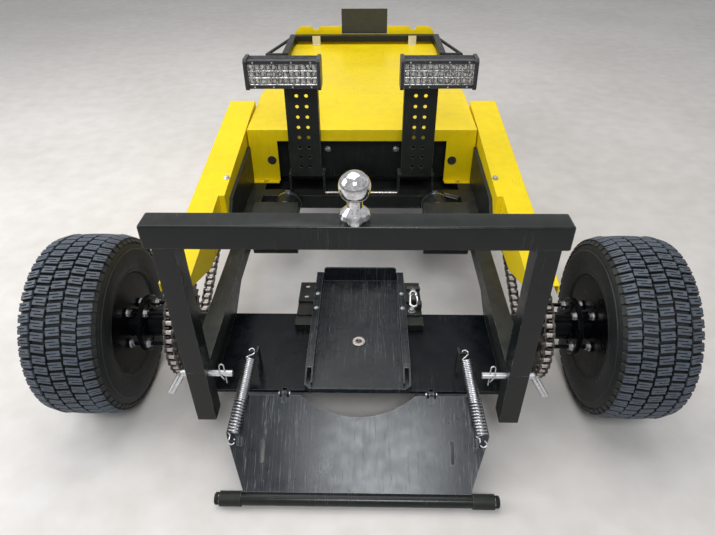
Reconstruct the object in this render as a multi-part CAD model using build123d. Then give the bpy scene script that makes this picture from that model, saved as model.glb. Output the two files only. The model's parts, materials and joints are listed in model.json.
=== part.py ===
from build123d import *
import math
import os

# Electric tug for small aircraft. All sizes are in millimetres.
# X points to the right seen from the ramp, Y from the ramp to the operator's end, Z up from the floor.
# Every place below counts from the drive axle. emit() then moves each finished piece along Y,
# so that the origin lies on the floor under the middle of the tug.

# Drive wheels
TYRE_OD = 406.0
TYRE_WIDTH = 165.0
TRACK_HALF = 590.0
RIM_SEAT_R = 102.0
RIM_FLANGE_R = 114.5
RIM_WIDTH = 148.0
RIM_SHEET = 4.0
BEAD_GAP = 0.3
BEAD_LAND = 3.0
SIDEWALL_SIDES = 24
TREAD_LUGS = 54
LUG_LENGTH = 16.0
LUG_DEEP = 8.0
LUG_DRAFT = 1.0
TREAD_HALF = 59.0
TREAD_UNDERCUT = 1.0
SHOULDER_HALF = 71.0
SHOULDER_DROP = 14.0
EDGE_HALF = 79.0
EDGE_DROP = 24.0
STUD_CIRCLE_R = 50.8
STUD_COUNT = 4
STUD_PHASE_DEG = 25.0
STUD_R = 6.0
SPINDLE_R = 12.7
SPINDLE_FIT = 0.08
SPINDLE_FOOT_HALF = 60.0
SPINDLE_FOOT_THICK = 10.0
SPINDLE_BOSS_R = 24.0
HUB_BARREL_R = 30.0
HUB_FLANGE_R = 64.0
HUB_FLANGE_THICK = 12.0
HUB_FLANGE_X = 474.0
HUB_CAP = 24.0

# Chain drive, 3/4 inch pitch
CHAIN_PITCH = 19.05
CHAIN_X = 400.0
WHEEL_TEETH = 36
MOTOR_TEETH = 12
ROLLER_WIDTH = 12.7
ROLLER_LENGTH = 11.9
LINK_PLATE = 2.4
LINK_HEIGHT = 12.0
LINK_PLAY = 0.15
TOOTH_ROOT_HALF = 2.9
TOOTH_TIP_HALF = 1.5
TOOTH_TIP_RISE = 4.5
SPROCKET_THICK = 11.5
LIGHTENING_CIRCLE_R = 80.0
LIGHTENING_HOLE_R = 11.0
MOTOR_REACH = 327.0
MOTOR_LIFT_DEG = 8.5

# Square-tube frame
TUBE = 38.0
TUBE_WALL = 3.0
RAIL_OUTER_X = 326.0
RAIL_TOP_Z = 269.0
RAIL_REAR_Y = 1540.0
GANTRY_Y = -197.0
SOCKET_BOTTOM_Z = 132.0
BAR_TUBE = 44.4
BAR_HALF_LENGTH = 339.0
BAR_TOP_Z = 600.6
SPIGOT_GAP = 0.4
SPIGOT_DEPTH = 100.0
PIN_Z = 250.0
PIN_R = 6.35
PIN_INNER_X = 242.0
PIN_HANDLE_DROP = 62.0

# Tow ball
BALL_R = 25.4
BALL_RISE = 57.6
BALL_NECK_R = 13.0
BALL_COLLAR_R = 25.0

# Deck and turning cradle
DECK_TOP_Z = 140.0
DECK_THICK = 8.0
DECK_FRONT_Y = -142.0
DECK_REAR_Y = 106.0
SIDE_PLATE_X = 310.0
SIDE_PLATE_THICK = 8.0
SIDE_PLATE_REAR_Y = 262.0
TURN_WASHER = 3.0
PIVOT_BOLT_R = 8.0
PIVOT_FIT = 0.08
HEAD_R = 12.5
HEAD_DEPTH = 2.4
HEAD_SUNK = 0.3
PAN_SHEET = 4.0
PAN_FRONT_Y = -152.0
PAN_REAR_Y = 237.0
PAN_HALF = 114.0
PAN_CORNER = 12.0
PAN_FOLD = 17.0
PAN_SIDE_HEIGHT = 30.0
PAN_LIP = 13.0
PAN_LIP_RUN = 60.0
PAN_WALL_HALF = 95.0
PAN_WALL_TOP_Z = 190.0
PAN_WALL_CORNER = 9.0
WING_REACH = 38.0
WING_FRONT_Y = 74.0
WING_REAR_Y = 192.0
WING_TOP_Z = 173.0
WING_STEP_Y = 116.0
WING_STEP_DROP = 7.0
WING_BLOCK_FRONT_Y = 44.0
WING_BLOCK_HEIGHT = 17.0
WING_BLOCK_WIDTH = 40.0
WING_HOLE_R = 6.0
WING_HOLE_SPACING = 40.0

# Ramp flap, hinged at the deck's front edge
HINGE_Y = -146.0
HINGE_Z = 134.0
HINGE_X = 157.0
HINGE_KNUCKLE_R = 7.0
HINGE_KNUCKLE_LENGTH = 9.0
HINGE_PIN_R = 4.0
HINGE_FIT = 0.08
HINGE_SIDE_GAP = 0.5
HINGE_EAR = 5.0
HINGE_NOTCH = 10.0
FLAP_LENGTH = 210.0
FLAP_SHEET = 6.0
FLAP_ROOT = 4.0
FLAP_ROOT_HALF = 262.0
FLAP_WIDE_HALF = 275.0
FLAP_WIDE_AT = 85.0
FLAP_TIP_HALF = 230.0
CRADLE_CLEARANCE = 11.0
TIP_BAR_R = 12.7
TIP_BAR_HALF = 286.0
SLEEVE_R = 15.0
SLEEVE_LENGTH = 44.0
SLEEVE_END_X = 276.0
FLOOR_GAP = 0.6
SLOT_X = 196.0
SLOT_AT = 118.0
SLOT_LENGTH = 46.0
SLOT_WIDTH = 7.0

# Flap springs
SPRING_COIL_R = 12.0
SPRING_WIRE_R = 1.8
SPRING_HOOK = 14.0
SPRING_ANCHOR_X = 230.0
SPRING_ANCHOR_Y = -88.0
SPRING_ANCHOR_Z = 200.0
SPRING_EYE_AT = 100.0
SPRING_EYE_X = 258.0
SPRING_EYE_HEIGHT = 16.0
SPRING_EYE_R = 3.0
SPRING_TAB = 4.0
SPRING_TAB_FOOT = 32.0
SPRING_TAB_HEAD = 18.0
SPRING_TAB_RISE = 8.0
HOOK_GAP = 0.3

# Hood and covers
SHEET = 3.0
HOOD_FRONT_Y = 572.0
HOOD_CREASE_Y = 850.0
HOOD_REAR_Y = 1482.0
HOOD_OVERHANG = 5.0
HOOD_REAR_HALF = 288.0
HOOD_FRONT_Z = 432.0
HOOD_CREASE_Z = 443.0
HOOD_REAR_Z = 436.0
HOOD_SEAM = 0.6
MOUTH_HALF = 247.0
MOUTH_TOP_Z = 398.0
PLUG_HOLE_R = 11.0
PLUG_X = 267.0
PLUG_Z = 338.0
FENDER_GAP = 0.6
FENDER_WIDTH = 78.0
FENDER_FRONT_Y = -46.0
FENDER_REAR_Y = 755.0
FENDER_FRONT_Z = 353.0
FENDER_SLOPE = 0.1246
FENDER_STEP = 15.0
FENDER_SKIRT_Z = 280.0
FENDER_SKIRT_Y = 105.0
FENDER_NOSE = 15.0
FENDER_LIP = 22.0

# Drive unit and what stands behind the open bay
MOTOR_PLATE_THICK = 8.0
MOTOR_PLATE_TOP_Z = 384.0
MOTOR_PLATE_FRONT_Y = 258.0
MOTOR_PLATE_REAR_Y = 566.0
GEARBOX_INNER_X = 169.0
GEARBOX_HALF_HEIGHT = 56.0
GEARBOX_HALF_LENGTH = 52.0
MOTOR_CAN_R = 36.0
MOTOR_CAN_END_Y = 474.0
SHAFT_R = 11.0
CROSS_Y = 500.0
POST_INNER_X = 112.0
POST_WIDTH = 87.0
POST_DEPTH = 30.0
POST_SHEET = 3.0
POST_FRONT_Y = 478.0
POST_FOOT_Z = 338.0
POST_TOP_Z = 650.0
HOLE_R = 4.8
HOLE_COLUMN_PITCH = 25.4
HOLE_ROW_PITCH = 28.5
HOLE_ROWS = 8
HOLE_TOP_Z = 563.0
LAMP_WIDTH = 187.0
LAMP_HEIGHT = 76.0
LAMP_DEPTH = 60.0
LAMP_BOTTOM_Z = 596.0
LAMP_CENTRE_X = 191.0
LAMP_END_PLATE = 9.0
LAMP_CORNER = 12.0
LAMP_INSET = 4.0
LAMP_RIM = 9.0
CUP_COLUMNS = 9
CUP_ROWS = 3
CUP_DEEP = 7.0
CUP_WEB = 1.2
BULKHEAD_Y = 604.0

# Battery, rear end and casters
BATTERY_FRONT_Y = 650.0
BATTERY_REAR_Y = 1130.0
BATTERY_HALF = 250.0
BATTERY_HEIGHT = 190.0
FLOOR_SHEET = 4.0
FLOOR_GAP_Y = 6.0
HOOP_TUBE = 25.0
HOOP_Y = 1512.0
HOOP_HALF = 313.0
HOOP_TOP_Z = 467.0
ARM_FRONT_Y = 1240.0
REAR_PANEL_TOP_Z = 498.0
REAR_PANEL_HALF = 292.0
REAR_PANEL_BEVEL = 22.0
PANEL_NOTCH_X = 204.0
PANEL_NOTCH_R = 14.0
BOX_GAP = 0.6
CATCH_X = 200.0
CATCH_WIDTH = 33.0
CATCH_HEIGHT = 34.0
CATCH_FOOT = 16.0
CATCH_SHEET = 3.0
LOOP_R = 6.0
LOOP_OUT = 62.0
LOOP_FRONT_Y = 1262.0
CONTROL_BOX_HALF = 95.0
CONTROL_BOX_DEPTH = 110.0
CONTROL_BOX_BOTTOM_Z = 469.0
CONTROL_BOX_TOP_Z = 566.0
CASTER_Y = 1380.0
CASTER_X = 215.0
CASTER_WHEEL_R = 76.0
CASTER_WHEEL_WIDTH = 46.0
CASTER_TRAIL = 40.0
CASTER_PLATE = 6.0
CASTER_PLATE_HALF_X = 50.0
CASTER_PLATE_HALF_Y = 42.0
CASTER_FORK_SHEET = 5.0
CASTER_AXLE_R = 6.0
CASTER_FIT = 0.08
CASTER_SIDE_GAP = 5.0

# Worked out from the sizes above
AXLE_Z = TYRE_OD / 2
RAIL_INNER_X = RAIL_OUTER_X - TUBE
HOOD_HALF = RAIL_OUTER_X + HOOD_OVERHANG
FENDER_INNER_X = RAIL_OUTER_X + MOTOR_PLATE_THICK + FENDER_GAP
RAIL_CENTRE_X = RAIL_OUTER_X - TUBE / 2
RAIL_BOTTOM_Z = RAIL_TOP_Z - TUBE
RAIL_FRONT_Y = GANTRY_Y + TUBE / 2
SIDE_PLATE_OUTER_X = SIDE_PLATE_X + SIDE_PLATE_THICK
PAN_FLOOR_Z = DECK_TOP_Z + TURN_WASHER
PAN_SWEEP_R = max(
    math.hypot(PAN_HALF - PAN_CORNER, PAN_FRONT_Y),
    math.hypot(PAN_HALF, PAN_FRONT_Y + PAN_CORNER),
)
FLAP_ARC_R = PAN_SWEEP_R + CRADLE_CLEARANCE
BAR_Z = SLEEVE_R + FLOOR_GAP
FLAP_DROP_RAD = math.asin((HINGE_Z - BAR_Z) / FLAP_LENGTH)
CASTER_TOP_Z = RAIL_BOTTOM_Z - TUBE
WHEEL_PITCH_R = CHAIN_PITCH / 2 / math.sin(math.pi / WHEEL_TEETH)
MOTOR_PITCH_R = CHAIN_PITCH / 2 / math.sin(math.pi / MOTOR_TEETH)
FRONT_REACH = -HINGE_Y + FLAP_LENGTH * math.cos(FLAP_DROP_RAD) + SLEEVE_R
REAR_REACH = HOOP_Y + HOOP_TUBE / 2 + CONTROL_BOX_DEPTH
SHIFT_Y = (FRONT_REACH - REAR_REACH) / 2

SIDES = (("left", -1), ("right", 1))


def emit(name, *solids):
    """Move the solids of one piece to the tug's own origin and write them as one file."""
    placed = [Pos(0, SHIFT_Y, 0) * solid for piece in solids for solid in piece.solids()]
    shape = placed[0] if len(placed) == 1 else Compound(placed)
    export_step(shape, os.path.join("parts", name + ".step"))


def block(x0, x1, y0, y1, z0, z1):
    """A box between two corners, given in any order."""
    size = (abs(x1 - x0), abs(y1 - y0), abs(z1 - z0))
    return Pos((x0 + x1) / 2, (y0 + y1) / 2, (z0 + z1) / 2) * Box(*size)


def rod_x(x0, x1, y, z, radius):
    """A round bar along X."""
    return Pos((x0 + x1) / 2, y, z) * Rot(0, 90, 0) * Cylinder(radius, abs(x1 - x0))


def rod_y(y0, y1, x, z, radius):
    """A round bar along Y."""
    return Pos(x, (y0 + y1) / 2, z) * Rot(90, 0, 0) * Cylinder(radius, abs(y1 - y0))


def rod_z(z0, z1, x, y, radius):
    """A round bar along Z."""
    return Pos(x, y, (z0 + z1) / 2) * Cylinder(radius, abs(z1 - z0))


def slab_x(points, x0, x1):
    """A plate whose outline is given as (y, z) points, between two places on X."""
    low, high = min(x0, x1), max(x0, x1)
    plane = Plane(origin=(low, 0, 0), x_dir=(0, 1, 0), z_dir=(1, 0, 0))
    return extrude(plane * make_face(Polyline(*points, close=True)), amount=high - low)


def slab_y(points, y0, y1):
    """A plate whose outline is given as (x, z) points, between two places on Y."""
    plane = Plane(origin=(0, y1, 0), x_dir=(1, 0, 0), z_dir=(0, -1, 0))
    return extrude(plane * make_face(Polyline(*points, close=True)), amount=y1 - y0)


def slab_z(points, z0, z1):
    """A plate whose outline is given as (x, y) points, between two heights."""
    return extrude(Plane.XY.offset(z0) * make_face(Polyline(*points, close=True)), amount=z1 - z0)


def tube_y(x_centre, y0, y1, z_top):
    """A square tube along Y, open at both ends."""
    half, bore = TUBE / 2, TUBE / 2 - TUBE_WALL
    middle = z_top - half
    outer = block(x_centre - half, x_centre + half, y0, y1, middle - half, middle + half)
    return outer - block(x_centre - bore, x_centre + bore, y0, y1, middle - bore, middle + bore)


def tube_z(x_centre, y_centre, z0, z1, size, wall):
    """An upright square tube, open at both ends."""
    half, bore = size / 2, size / 2 - wall
    outer = block(x_centre - half, x_centre + half, y_centre - half, y_centre + half, z0, z1)
    return outer - block(x_centre - bore, x_centre + bore, y_centre - bore, y_centre + bore, z0, z1)


def turned_x(profile, x_centre, sign):
    """Turn a closed (offset, radius) outline about the drive axle, the offset pointing outwards."""
    sketch = Plane(origin=(x_centre, 0, AXLE_Z), x_dir=(sign, 0, 0), z_dir=(0, -sign, 0)) * profile
    return revolve(sketch, Axis((0, 0, AXLE_Z), (1, 0, 0)))


def tyre(sign):
    """Low wide turf tyre: a ring of lugs on a body whose section is made of straight bands."""
    x, radius = sign * TRACK_HALF, TYRE_OD / 2
    bead, seat = RIM_WIDTH / 2 - RIM_SHEET / 2, RIM_FLANGE_R + BEAD_GAP
    inside = (radius - LUG_DEEP) * math.cos(math.pi / SIDEWALL_SIDES) - TREAD_UNDERCUT
    right = [(TREAD_HALF, inside), (SHOULDER_HALF, radius - SHOULDER_DROP), (EDGE_HALF, radius - EDGE_DROP),
             (TYRE_WIDTH / 2, (radius + RIM_FLANGE_R) / 2), (bead, seat + BEAD_LAND)]
    left = [(-across, up) for across, up in reversed(right)]
    body = banded(x, left + right) + slab_x(lug_outline(), x - TREAD_HALF, x + TREAD_HALF)
    return body - banded(x, [(-bead - 1, seat), (bead + 1, seat)])


def lug_outline():
    """The tread from the side: flat-topped lugs with sloping flanks, as (y, z) points, one lug at the bottom."""
    root, tip = TYRE_OD / 2 - LUG_DEEP, TYRE_OD / 2
    points = []
    for lug in range(TREAD_LUGS):
        middle = math.radians(360 / TREAD_LUGS * lug - 90)
        for height, half in ((root, -LUG_LENGTH / 2 - LUG_DRAFT), (tip, -LUG_LENGTH / 2),
                             (tip, LUG_LENGTH / 2), (root, LUG_LENGTH / 2 + LUG_DRAFT)):
            points.append(on_circle((0, AXLE_Z), math.hypot(height, half), middle + math.atan2(half, height)))
    return points


def banded(x, section):
    """A many-sided body about the drive axle, from (offset, distance of its flats) pairs."""
    rings = []
    for offset, flat in section:
        plane = Plane(origin=(x + offset, 0, AXLE_Z), x_dir=(0, 0, -1), z_dir=(1, 0, 0))
        rings.append(plane * RegularPolygon(flat, SIDEWALL_SIDES, major_radius=False, rotation=180 / SIDEWALL_SIDES))
    return loft(rings, ruled=True)


def rim(sign):
    """Pressed steel wheel: barrel, two flanges and a disc at its inner side."""
    half, sheet, seat, lip = RIM_WIDTH / 2, RIM_SHEET, RIM_SEAT_R, RIM_FLANGE_R
    outline = [
        (-half, HUB_BARREL_R + 2), (-half, lip), (-half + sheet, lip), (-half + sheet, seat),
        (half - sheet, seat), (half - sheet, lip), (half, lip), (half, seat - sheet),
        (-half + 2 * sheet, seat - sheet), (-half + 2 * sheet, HUB_FLANGE_R + 8),
        (-half + sheet, HUB_FLANGE_R), (-half + sheet, HUB_BARREL_R + 2),
    ]
    wheel = turned_x(make_face(Polyline(*outline, close=True)), sign * TRACK_HALF, sign)
    disc_x = TRACK_HALF - half
    for y, z in stud_places():
        wheel -= rod_x(sign * (disc_x - 1), sign * (disc_x + sheet + 1), y, z, STUD_R)
    return wheel


def stud_places():
    """Where the studs stand round the axle, as (y, z)."""
    for index in range(STUD_COUNT):
        angle = math.radians(STUD_PHASE_DEG + 360 / STUD_COUNT * index)
        yield STUD_CIRCLE_R * math.cos(angle), AXLE_Z + STUD_CIRCLE_R * math.sin(angle)


def nut(x0, x1, y, z, across):
    """A six-sided nut on a bolt along X."""
    low = min(x0, x1)
    plane = Plane(origin=(low, y, z), x_dir=(0, 1, 0), z_dir=(1, 0, 0))
    return extrude(plane * RegularPolygon(across / 2, 6, major_radius=False), amount=abs(x1 - x0))


def hub(sign):
    """Barrel with a flange, its studs and the spacer bolts that carry the sprocket."""
    face = HUB_FLANGE_X + HUB_FLANGE_THICK
    disc_x = TRACK_HALF - RIM_WIDTH / 2
    sprocket_back = CHAIN_X + SPROCKET_THICK / 2
    barrel = rod_x(sign * sprocket_back, sign * face, 0, AXLE_Z, HUB_BARREL_R)
    barrel += rod_x(sign * HUB_FLANGE_X, sign * face, 0, AXLE_Z, HUB_FLANGE_R)
    barrel += rod_x(sign * face, sign * (disc_x + RIM_SHEET), 0, AXLE_Z, HUB_BARREL_R)
    barrel += rod_x(sign * face, sign * (disc_x + HUB_CAP), 0, AXLE_Z, HUB_BARREL_R - 6)
    for y, z in stud_places():
        barrel += rod_x(sign * sprocket_back, sign * (disc_x + RIM_SHEET + 14), y, z, STUD_R)
        barrel += nut(sign * (disc_x - 11), sign * disc_x, y, z, 19)
        barrel += nut(sign * (HUB_FLANGE_X - 11), sign * HUB_FLANGE_X, y, z, 19)
        barrel += nut(sign * (disc_x + RIM_SHEET), sign * (disc_x + RIM_SHEET + 11), y, z, 19)
    bore = SPINDLE_R + SPINDLE_FIT
    return barrel - rod_x(sign * (sprocket_back - 1), sign * (disc_x + 2), 0, AXLE_Z, bore)


def toothed_disc(teeth, pitch_r, y, z, sign, phase_deg):
    """A chain wheel whose teeth stand between the rollers; a roller lies at the phase angle."""
    root = pitch_r * math.cos(math.pi / teeth) - LINK_HEIGHT / 2 - 0.8
    tip = pitch_r + TOOTH_TIP_RISE
    root_half = math.degrees(TOOTH_ROOT_HALF / root)
    tip_half = math.degrees(TOOTH_TIP_HALF / tip)
    points = []
    for tooth in range(teeth):
        middle = phase_deg + 360 / teeth * (tooth + 0.5)
        for radius, turn in ((root, -root_half), (tip, -tip_half), (tip, tip_half), (root, root_half)):
            angle = math.radians(middle + turn)
            points.append((y + radius * math.cos(angle), z + radius * math.sin(angle)))
    return slab_x(points, sign * (CHAIN_X - SPROCKET_THICK / 2), sign * (CHAIN_X + SPROCKET_THICK / 2))


def wheel_sprocket(sign, phase_deg):
    """Large chain wheel with lightening holes, bolted to the hub's spacer bolts."""
    disc = toothed_disc(WHEEL_TEETH, WHEEL_PITCH_R, 0, AXLE_Z, sign, phase_deg)
    near, far = sign * (CHAIN_X - SPROCKET_THICK), sign * (CHAIN_X + SPROCKET_THICK)
    disc -= rod_x(near, far, 0, AXLE_Z, SPINDLE_R + 2)
    for index in range(6):
        angle = math.radians(60 * index)
        y, z = LIGHTENING_CIRCLE_R * math.cos(angle), AXLE_Z + LIGHTENING_CIRCLE_R * math.sin(angle)
        disc -= rod_x(near, far, y, z, LIGHTENING_HOLE_R)
    for y, z in stud_places():
        disc += nut(sign * (CHAIN_X - SPROCKET_THICK / 2 - 9), sign * (CHAIN_X - SPROCKET_THICK / 2), y, z, 19)
    return disc


def chain_layout():
    """Motor centre and the pins' places, for a whole even number of links."""
    step = WHEEL_PITCH_R * 2 * math.pi / WHEEL_TEETH
    spread = WHEEL_PITCH_R - MOTOR_PITCH_R

    def loop_length(reach):
        lean = math.asin(spread / reach)
        wrap = WHEEL_PITCH_R * (math.pi + 2 * lean) + MOTOR_PITCH_R * (math.pi - 2 * lean)
        return 2 * reach * math.cos(lean) + wrap

    links = 2 * round(loop_length(MOTOR_REACH) / step / 2)
    reach = MOTOR_REACH
    for _ in range(8):
        lean = math.asin(spread / reach)
        reach += (links * step - loop_length(reach)) / (2 * math.cos(lean))
    lift = math.radians(MOTOR_LIFT_DEG)
    motor = (reach * math.cos(lift), AXLE_Z + reach * math.sin(lift))
    lean = math.asin(spread / reach)
    straight = reach * math.cos(lean)
    big_wrap, small_wrap = math.pi + 2 * lean, math.pi - 2 * lean
    pins = []
    for index in range(links):
        pins.append(point_on_loop(index * step, lift, lean, straight, big_wrap, small_wrap, motor))
    return motor, pins


def point_on_loop(run, lift, lean, straight, big_wrap, small_wrap, motor):
    """The place on the chain's centre line after a run from the middle of the large wrap."""
    half_big = WHEEL_PITCH_R * big_wrap / 2
    small = MOTOR_PITCH_R * small_wrap
    if run <= half_big:
        return on_circle((0, AXLE_Z), WHEEL_PITCH_R, lift + math.pi + run / WHEEL_PITCH_R)
    run -= half_big
    start_angle = lift - math.pi / 2 + lean
    if run <= straight:
        near = on_circle((0, AXLE_Z), WHEEL_PITCH_R, start_angle)
        far = on_circle(motor, MOTOR_PITCH_R, start_angle)
        return between(near, far, run / straight)
    run -= straight
    if run <= small:
        return on_circle(motor, MOTOR_PITCH_R, start_angle + run / MOTOR_PITCH_R)
    run -= small
    end_angle = lift + math.pi / 2 - lean
    if run <= straight:
        near = on_circle(motor, MOTOR_PITCH_R, end_angle)
        far = on_circle((0, AXLE_Z), WHEEL_PITCH_R, end_angle)
        return between(near, far, run / straight)
    run -= straight
    return on_circle((0, AXLE_Z), WHEEL_PITCH_R, end_angle + run / WHEEL_PITCH_R)


def first_pin_angle(motor, pins):
    """Where the chain's pin nearest the far side of the motor sprocket lies, in degrees."""
    lift = math.radians(MOTOR_LIFT_DEG)
    far = on_circle(motor, MOTOR_PITCH_R, lift)
    pin = min(pins, key=lambda place: math.hypot(place[0] - far[0], place[1] - far[1]))
    return math.degrees(math.atan2(pin[1] - motor[1], pin[0] - motor[0]))


def on_circle(centre, radius, angle):
    """A point on a circle in the (y, z) plane."""
    return centre[0] + radius * math.cos(angle), centre[1] + radius * math.sin(angle)


def between(near, far, share):
    """A point on the straight line between two points."""
    return near[0] + (far[0] - near[0]) * share, near[1] + (far[1] - near[1]) * share


def chain(sign, pins, motor):
    """Roller chain. The rollers show only on its straight runs, so that the chain wheels turn freely inside it."""
    inner = ROLLER_WIDTH / 2 + LINK_PLATE
    outer = inner + LINK_PLAY + LINK_PLATE
    links = []
    for index, pin in enumerate(pins):
        after = pins[(index + 1) % len(pins)]
        gap = math.hypot(after[0] - pin[0], after[1] - pin[1])
        turn = math.degrees(math.atan2(after[1] - pin[1], after[0] - pin[0]))
        place = Pos(sign * CHAIN_X, (pin[0] + after[0]) / 2, (pin[1] + after[1]) / 2) * Rot(turn, 0, 0)
        length = gap + ROLLER_LENGTH
        if index % 2 == 0 and clear_of_teeth(pin, motor) and clear_of_teeth(after, motor):
            frame = Box(2 * inner, length, LINK_HEIGHT)
            links.append(place * (frame - Box(ROLLER_WIDTH, gap - ROLLER_LENGTH, LINK_HEIGHT)))
            continue
        reach = inner if index % 2 == 0 else outer
        for side in (-1, 1):
            middle = side * (reach - LINK_PLATE / 2)
            links.append(place * Pos(middle, 0, 0) * Box(LINK_PLATE, length, LINK_HEIGHT))
    return links


def clear_of_teeth(pin, motor):
    """Whether a roller on this pin stays outside the circles that the teeth sweep."""
    around = TOOTH_TIP_RISE + ROLLER_LENGTH / 2 + LINK_HEIGHT / 2
    from_wheel = math.hypot(pin[0], pin[1] - AXLE_Z)
    from_motor = math.hypot(pin[0] - motor[0], pin[1] - motor[1])
    return from_wheel > WHEEL_PITCH_R + around and from_motor > MOTOR_PITCH_R + around


def motor_sprocket(sign, motor, phase_deg):
    """Small chain wheel on the gearbox shaft."""
    y, z = motor
    disc = toothed_disc(MOTOR_TEETH, MOTOR_PITCH_R, y, z, sign, phase_deg)
    inner = sign * (RAIL_OUTER_X + MOTOR_PLATE_THICK + 6)
    disc += rod_x(inner, sign * (CHAIN_X + SPROCKET_THICK / 2 + 4), y, z, 22)
    return disc - rod_x(sign * RAIL_OUTER_X, sign * (CHAIN_X + 40), y, z, SHAFT_R + SPINDLE_FIT)


def rail(sign, motor):
    """Main frame tube, drilled for the gearbox shaft."""
    tube = tube_y(sign * RAIL_CENTRE_X, RAIL_FRONT_Y, RAIL_REAR_Y, RAIL_TOP_Z)
    return tube - rod_x(sign * (RAIL_INNER_X - 1), sign * (RAIL_OUTER_X + 1), motor[0], motor[1], SHAFT_R + 2)


def side_plate(sign):
    """Upright plate under the rail that joins it to the deck and carries the wheel's spindle."""
    rear_z = DECK_TOP_Z + 30
    outline = [
        (RAIL_FRONT_Y, SOCKET_BOTTOM_Z), (DECK_REAR_Y, SOCKET_BOTTOM_Z),
        (SIDE_PLATE_REAR_Y, rear_z + 30), (SIDE_PLATE_REAR_Y, RAIL_BOTTOM_Z), (RAIL_FRONT_Y, RAIL_BOTTOM_Z),
    ]
    return slab_x(outline, sign * SIDE_PLATE_X, sign * SIDE_PLATE_OUTER_X)


def spindle(sign):
    """Wheel spindle with its square foot, bolted to the side plate."""
    foot = sign * SIDE_PLATE_OUTER_X
    tall = (RAIL_BOTTOM_Z - SOCKET_BOTTOM_Z) / 2 - 4
    middle = (RAIL_BOTTOM_Z + SOCKET_BOTTOM_Z) / 2
    wide = SPINDLE_FOOT_HALF
    plate = block(foot, foot + sign * SPINDLE_FOOT_THICK, -wide, wide, middle - tall, middle + tall)
    inside = foot + sign * SPINDLE_FOOT_THICK / 2
    plate += rod_x(inside, sign * (CHAIN_X - SPROCKET_THICK / 2 - 12), 0, AXLE_Z, SPINDLE_BOSS_R)
    return plate + rod_x(inside + sign * 15, sign * (TRACK_HALF - RIM_WIDTH / 2), 0, AXLE_Z, SPINDLE_R)


def socket_post(sign):
    """Front corner tube of the frame that takes the gantry's spigot."""
    x = sign * RAIL_CENTRE_X
    post = tube_z(x, GANTRY_Y, SOCKET_BOTTOM_Z, RAIL_TOP_Z, TUBE, TUBE_WALL)
    return post - rod_x(sign * (RAIL_INNER_X - 1), sign * (RAIL_OUTER_X + 1), GANTRY_Y, PIN_Z, PIN_R)


def gantry_upright(sign):
    """Removable upright with a smaller spigot that stands in the socket post."""
    x = sign * RAIL_CENTRE_X
    upright = block(x - TUBE / 2, x + TUBE / 2, GANTRY_Y - TUBE / 2, GANTRY_Y + TUBE / 2,
                    RAIL_TOP_Z, BAR_TOP_Z - BAR_TUBE)
    spigot = TUBE / 2 - TUBE_WALL - SPIGOT_GAP
    upright += block(x - spigot, x + spigot, GANTRY_Y - spigot, GANTRY_Y + spigot,
                     RAIL_TOP_Z - SPIGOT_DEPTH, RAIL_TOP_Z)
    return upright - rod_x(sign * (RAIL_INNER_X - 1), sign * (RAIL_OUTER_X + 1), GANTRY_Y, PIN_Z, PIN_R)


def gantry_bar():
    """Top beam of the gantry, a square tube with capped ends."""
    half = BAR_TUBE / 2
    bar = block(-BAR_HALF_LENGTH, BAR_HALF_LENGTH, GANTRY_Y - half, GANTRY_Y + half,
                BAR_TOP_Z - BAR_TUBE, BAR_TOP_Z)
    return fillet(bar.edges().filter_by(Axis.X), 4)


def tow_ball():
    """Hitch ball on a waisted neck with a flared collar."""
    centre = BAR_TOP_Z + BALL_RISE
    neck_top = centre - math.sqrt(BALL_R ** 2 - BALL_NECK_R ** 2)
    outline = Polyline((0, BAR_TOP_Z), (BALL_COLLAR_R - 3, BAR_TOP_Z), (BALL_COLLAR_R, BAR_TOP_Z + 8),
                       (BALL_COLLAR_R - 2, BAR_TOP_Z + 15), (BALL_NECK_R, BAR_TOP_Z + 25), (BALL_NECK_R, neck_top))
    outline += ThreePointArc((BALL_NECK_R, neck_top), (BALL_R, centre), (0, centre + BALL_R))
    outline += Line((0, centre + BALL_R), (0, BAR_TOP_Z))
    return Pos(0, GANTRY_Y, 0) * revolve(Plane.XZ * make_face(outline), Axis.Z)


def hitch_pin(sign):
    """Locking pin with a bent bar handle outside and a clip hole inside."""
    outside = RAIL_OUTER_X + 14
    pin = rod_x(sign * PIN_INNER_X, sign * outside, GANTRY_Y, PIN_Z, PIN_R)
    pin += Pos(sign * outside, GANTRY_Y, PIN_Z) * Sphere(PIN_R)
    handle = Pos(sign * outside, GANTRY_Y, PIN_Z) * Rot(0, sign * 150, 0) * Pos(0, 0, PIN_HANDLE_DROP / 2)
    return pin + handle * Cylinder(PIN_R, PIN_HANDLE_DROP)


def deck():
    """Flat plate between the side plates, with lugs for the flap's hinges."""
    half = SIDE_PLATE_X
    plate = block(-half, half, DECK_FRONT_Y, DECK_REAR_Y, DECK_TOP_Z - DECK_THICK, DECK_TOP_Z)
    plate -= rod_z(DECK_TOP_Z - DECK_THICK, DECK_TOP_Z, 0, 0, PIVOT_BOLT_R)
    wide = HINGE_KNUCKLE_LENGTH / 2 + HINGE_SIDE_GAP
    for _, sign in SIDES:
        plate -= block(sign * HINGE_X - wide, sign * HINGE_X + wide, DECK_FRONT_Y, HINGE_Y + HINGE_NOTCH,
                       DECK_TOP_Z - DECK_THICK, DECK_TOP_Z)
    for x0, x1 in hinge_ears():
        ear = block(x0, x1, HINGE_Y, DECK_FRONT_Y + 1, HINGE_Z - HINGE_KNUCKLE_R + 1, DECK_TOP_Z)
        plate += ear + rod_x(x0, x1, HINGE_Y, HINGE_Z, HINGE_KNUCKLE_R)
        plate -= rod_x(x0, x1, HINGE_Y, HINGE_Z, HINGE_PIN_R)
    return plate


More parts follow.
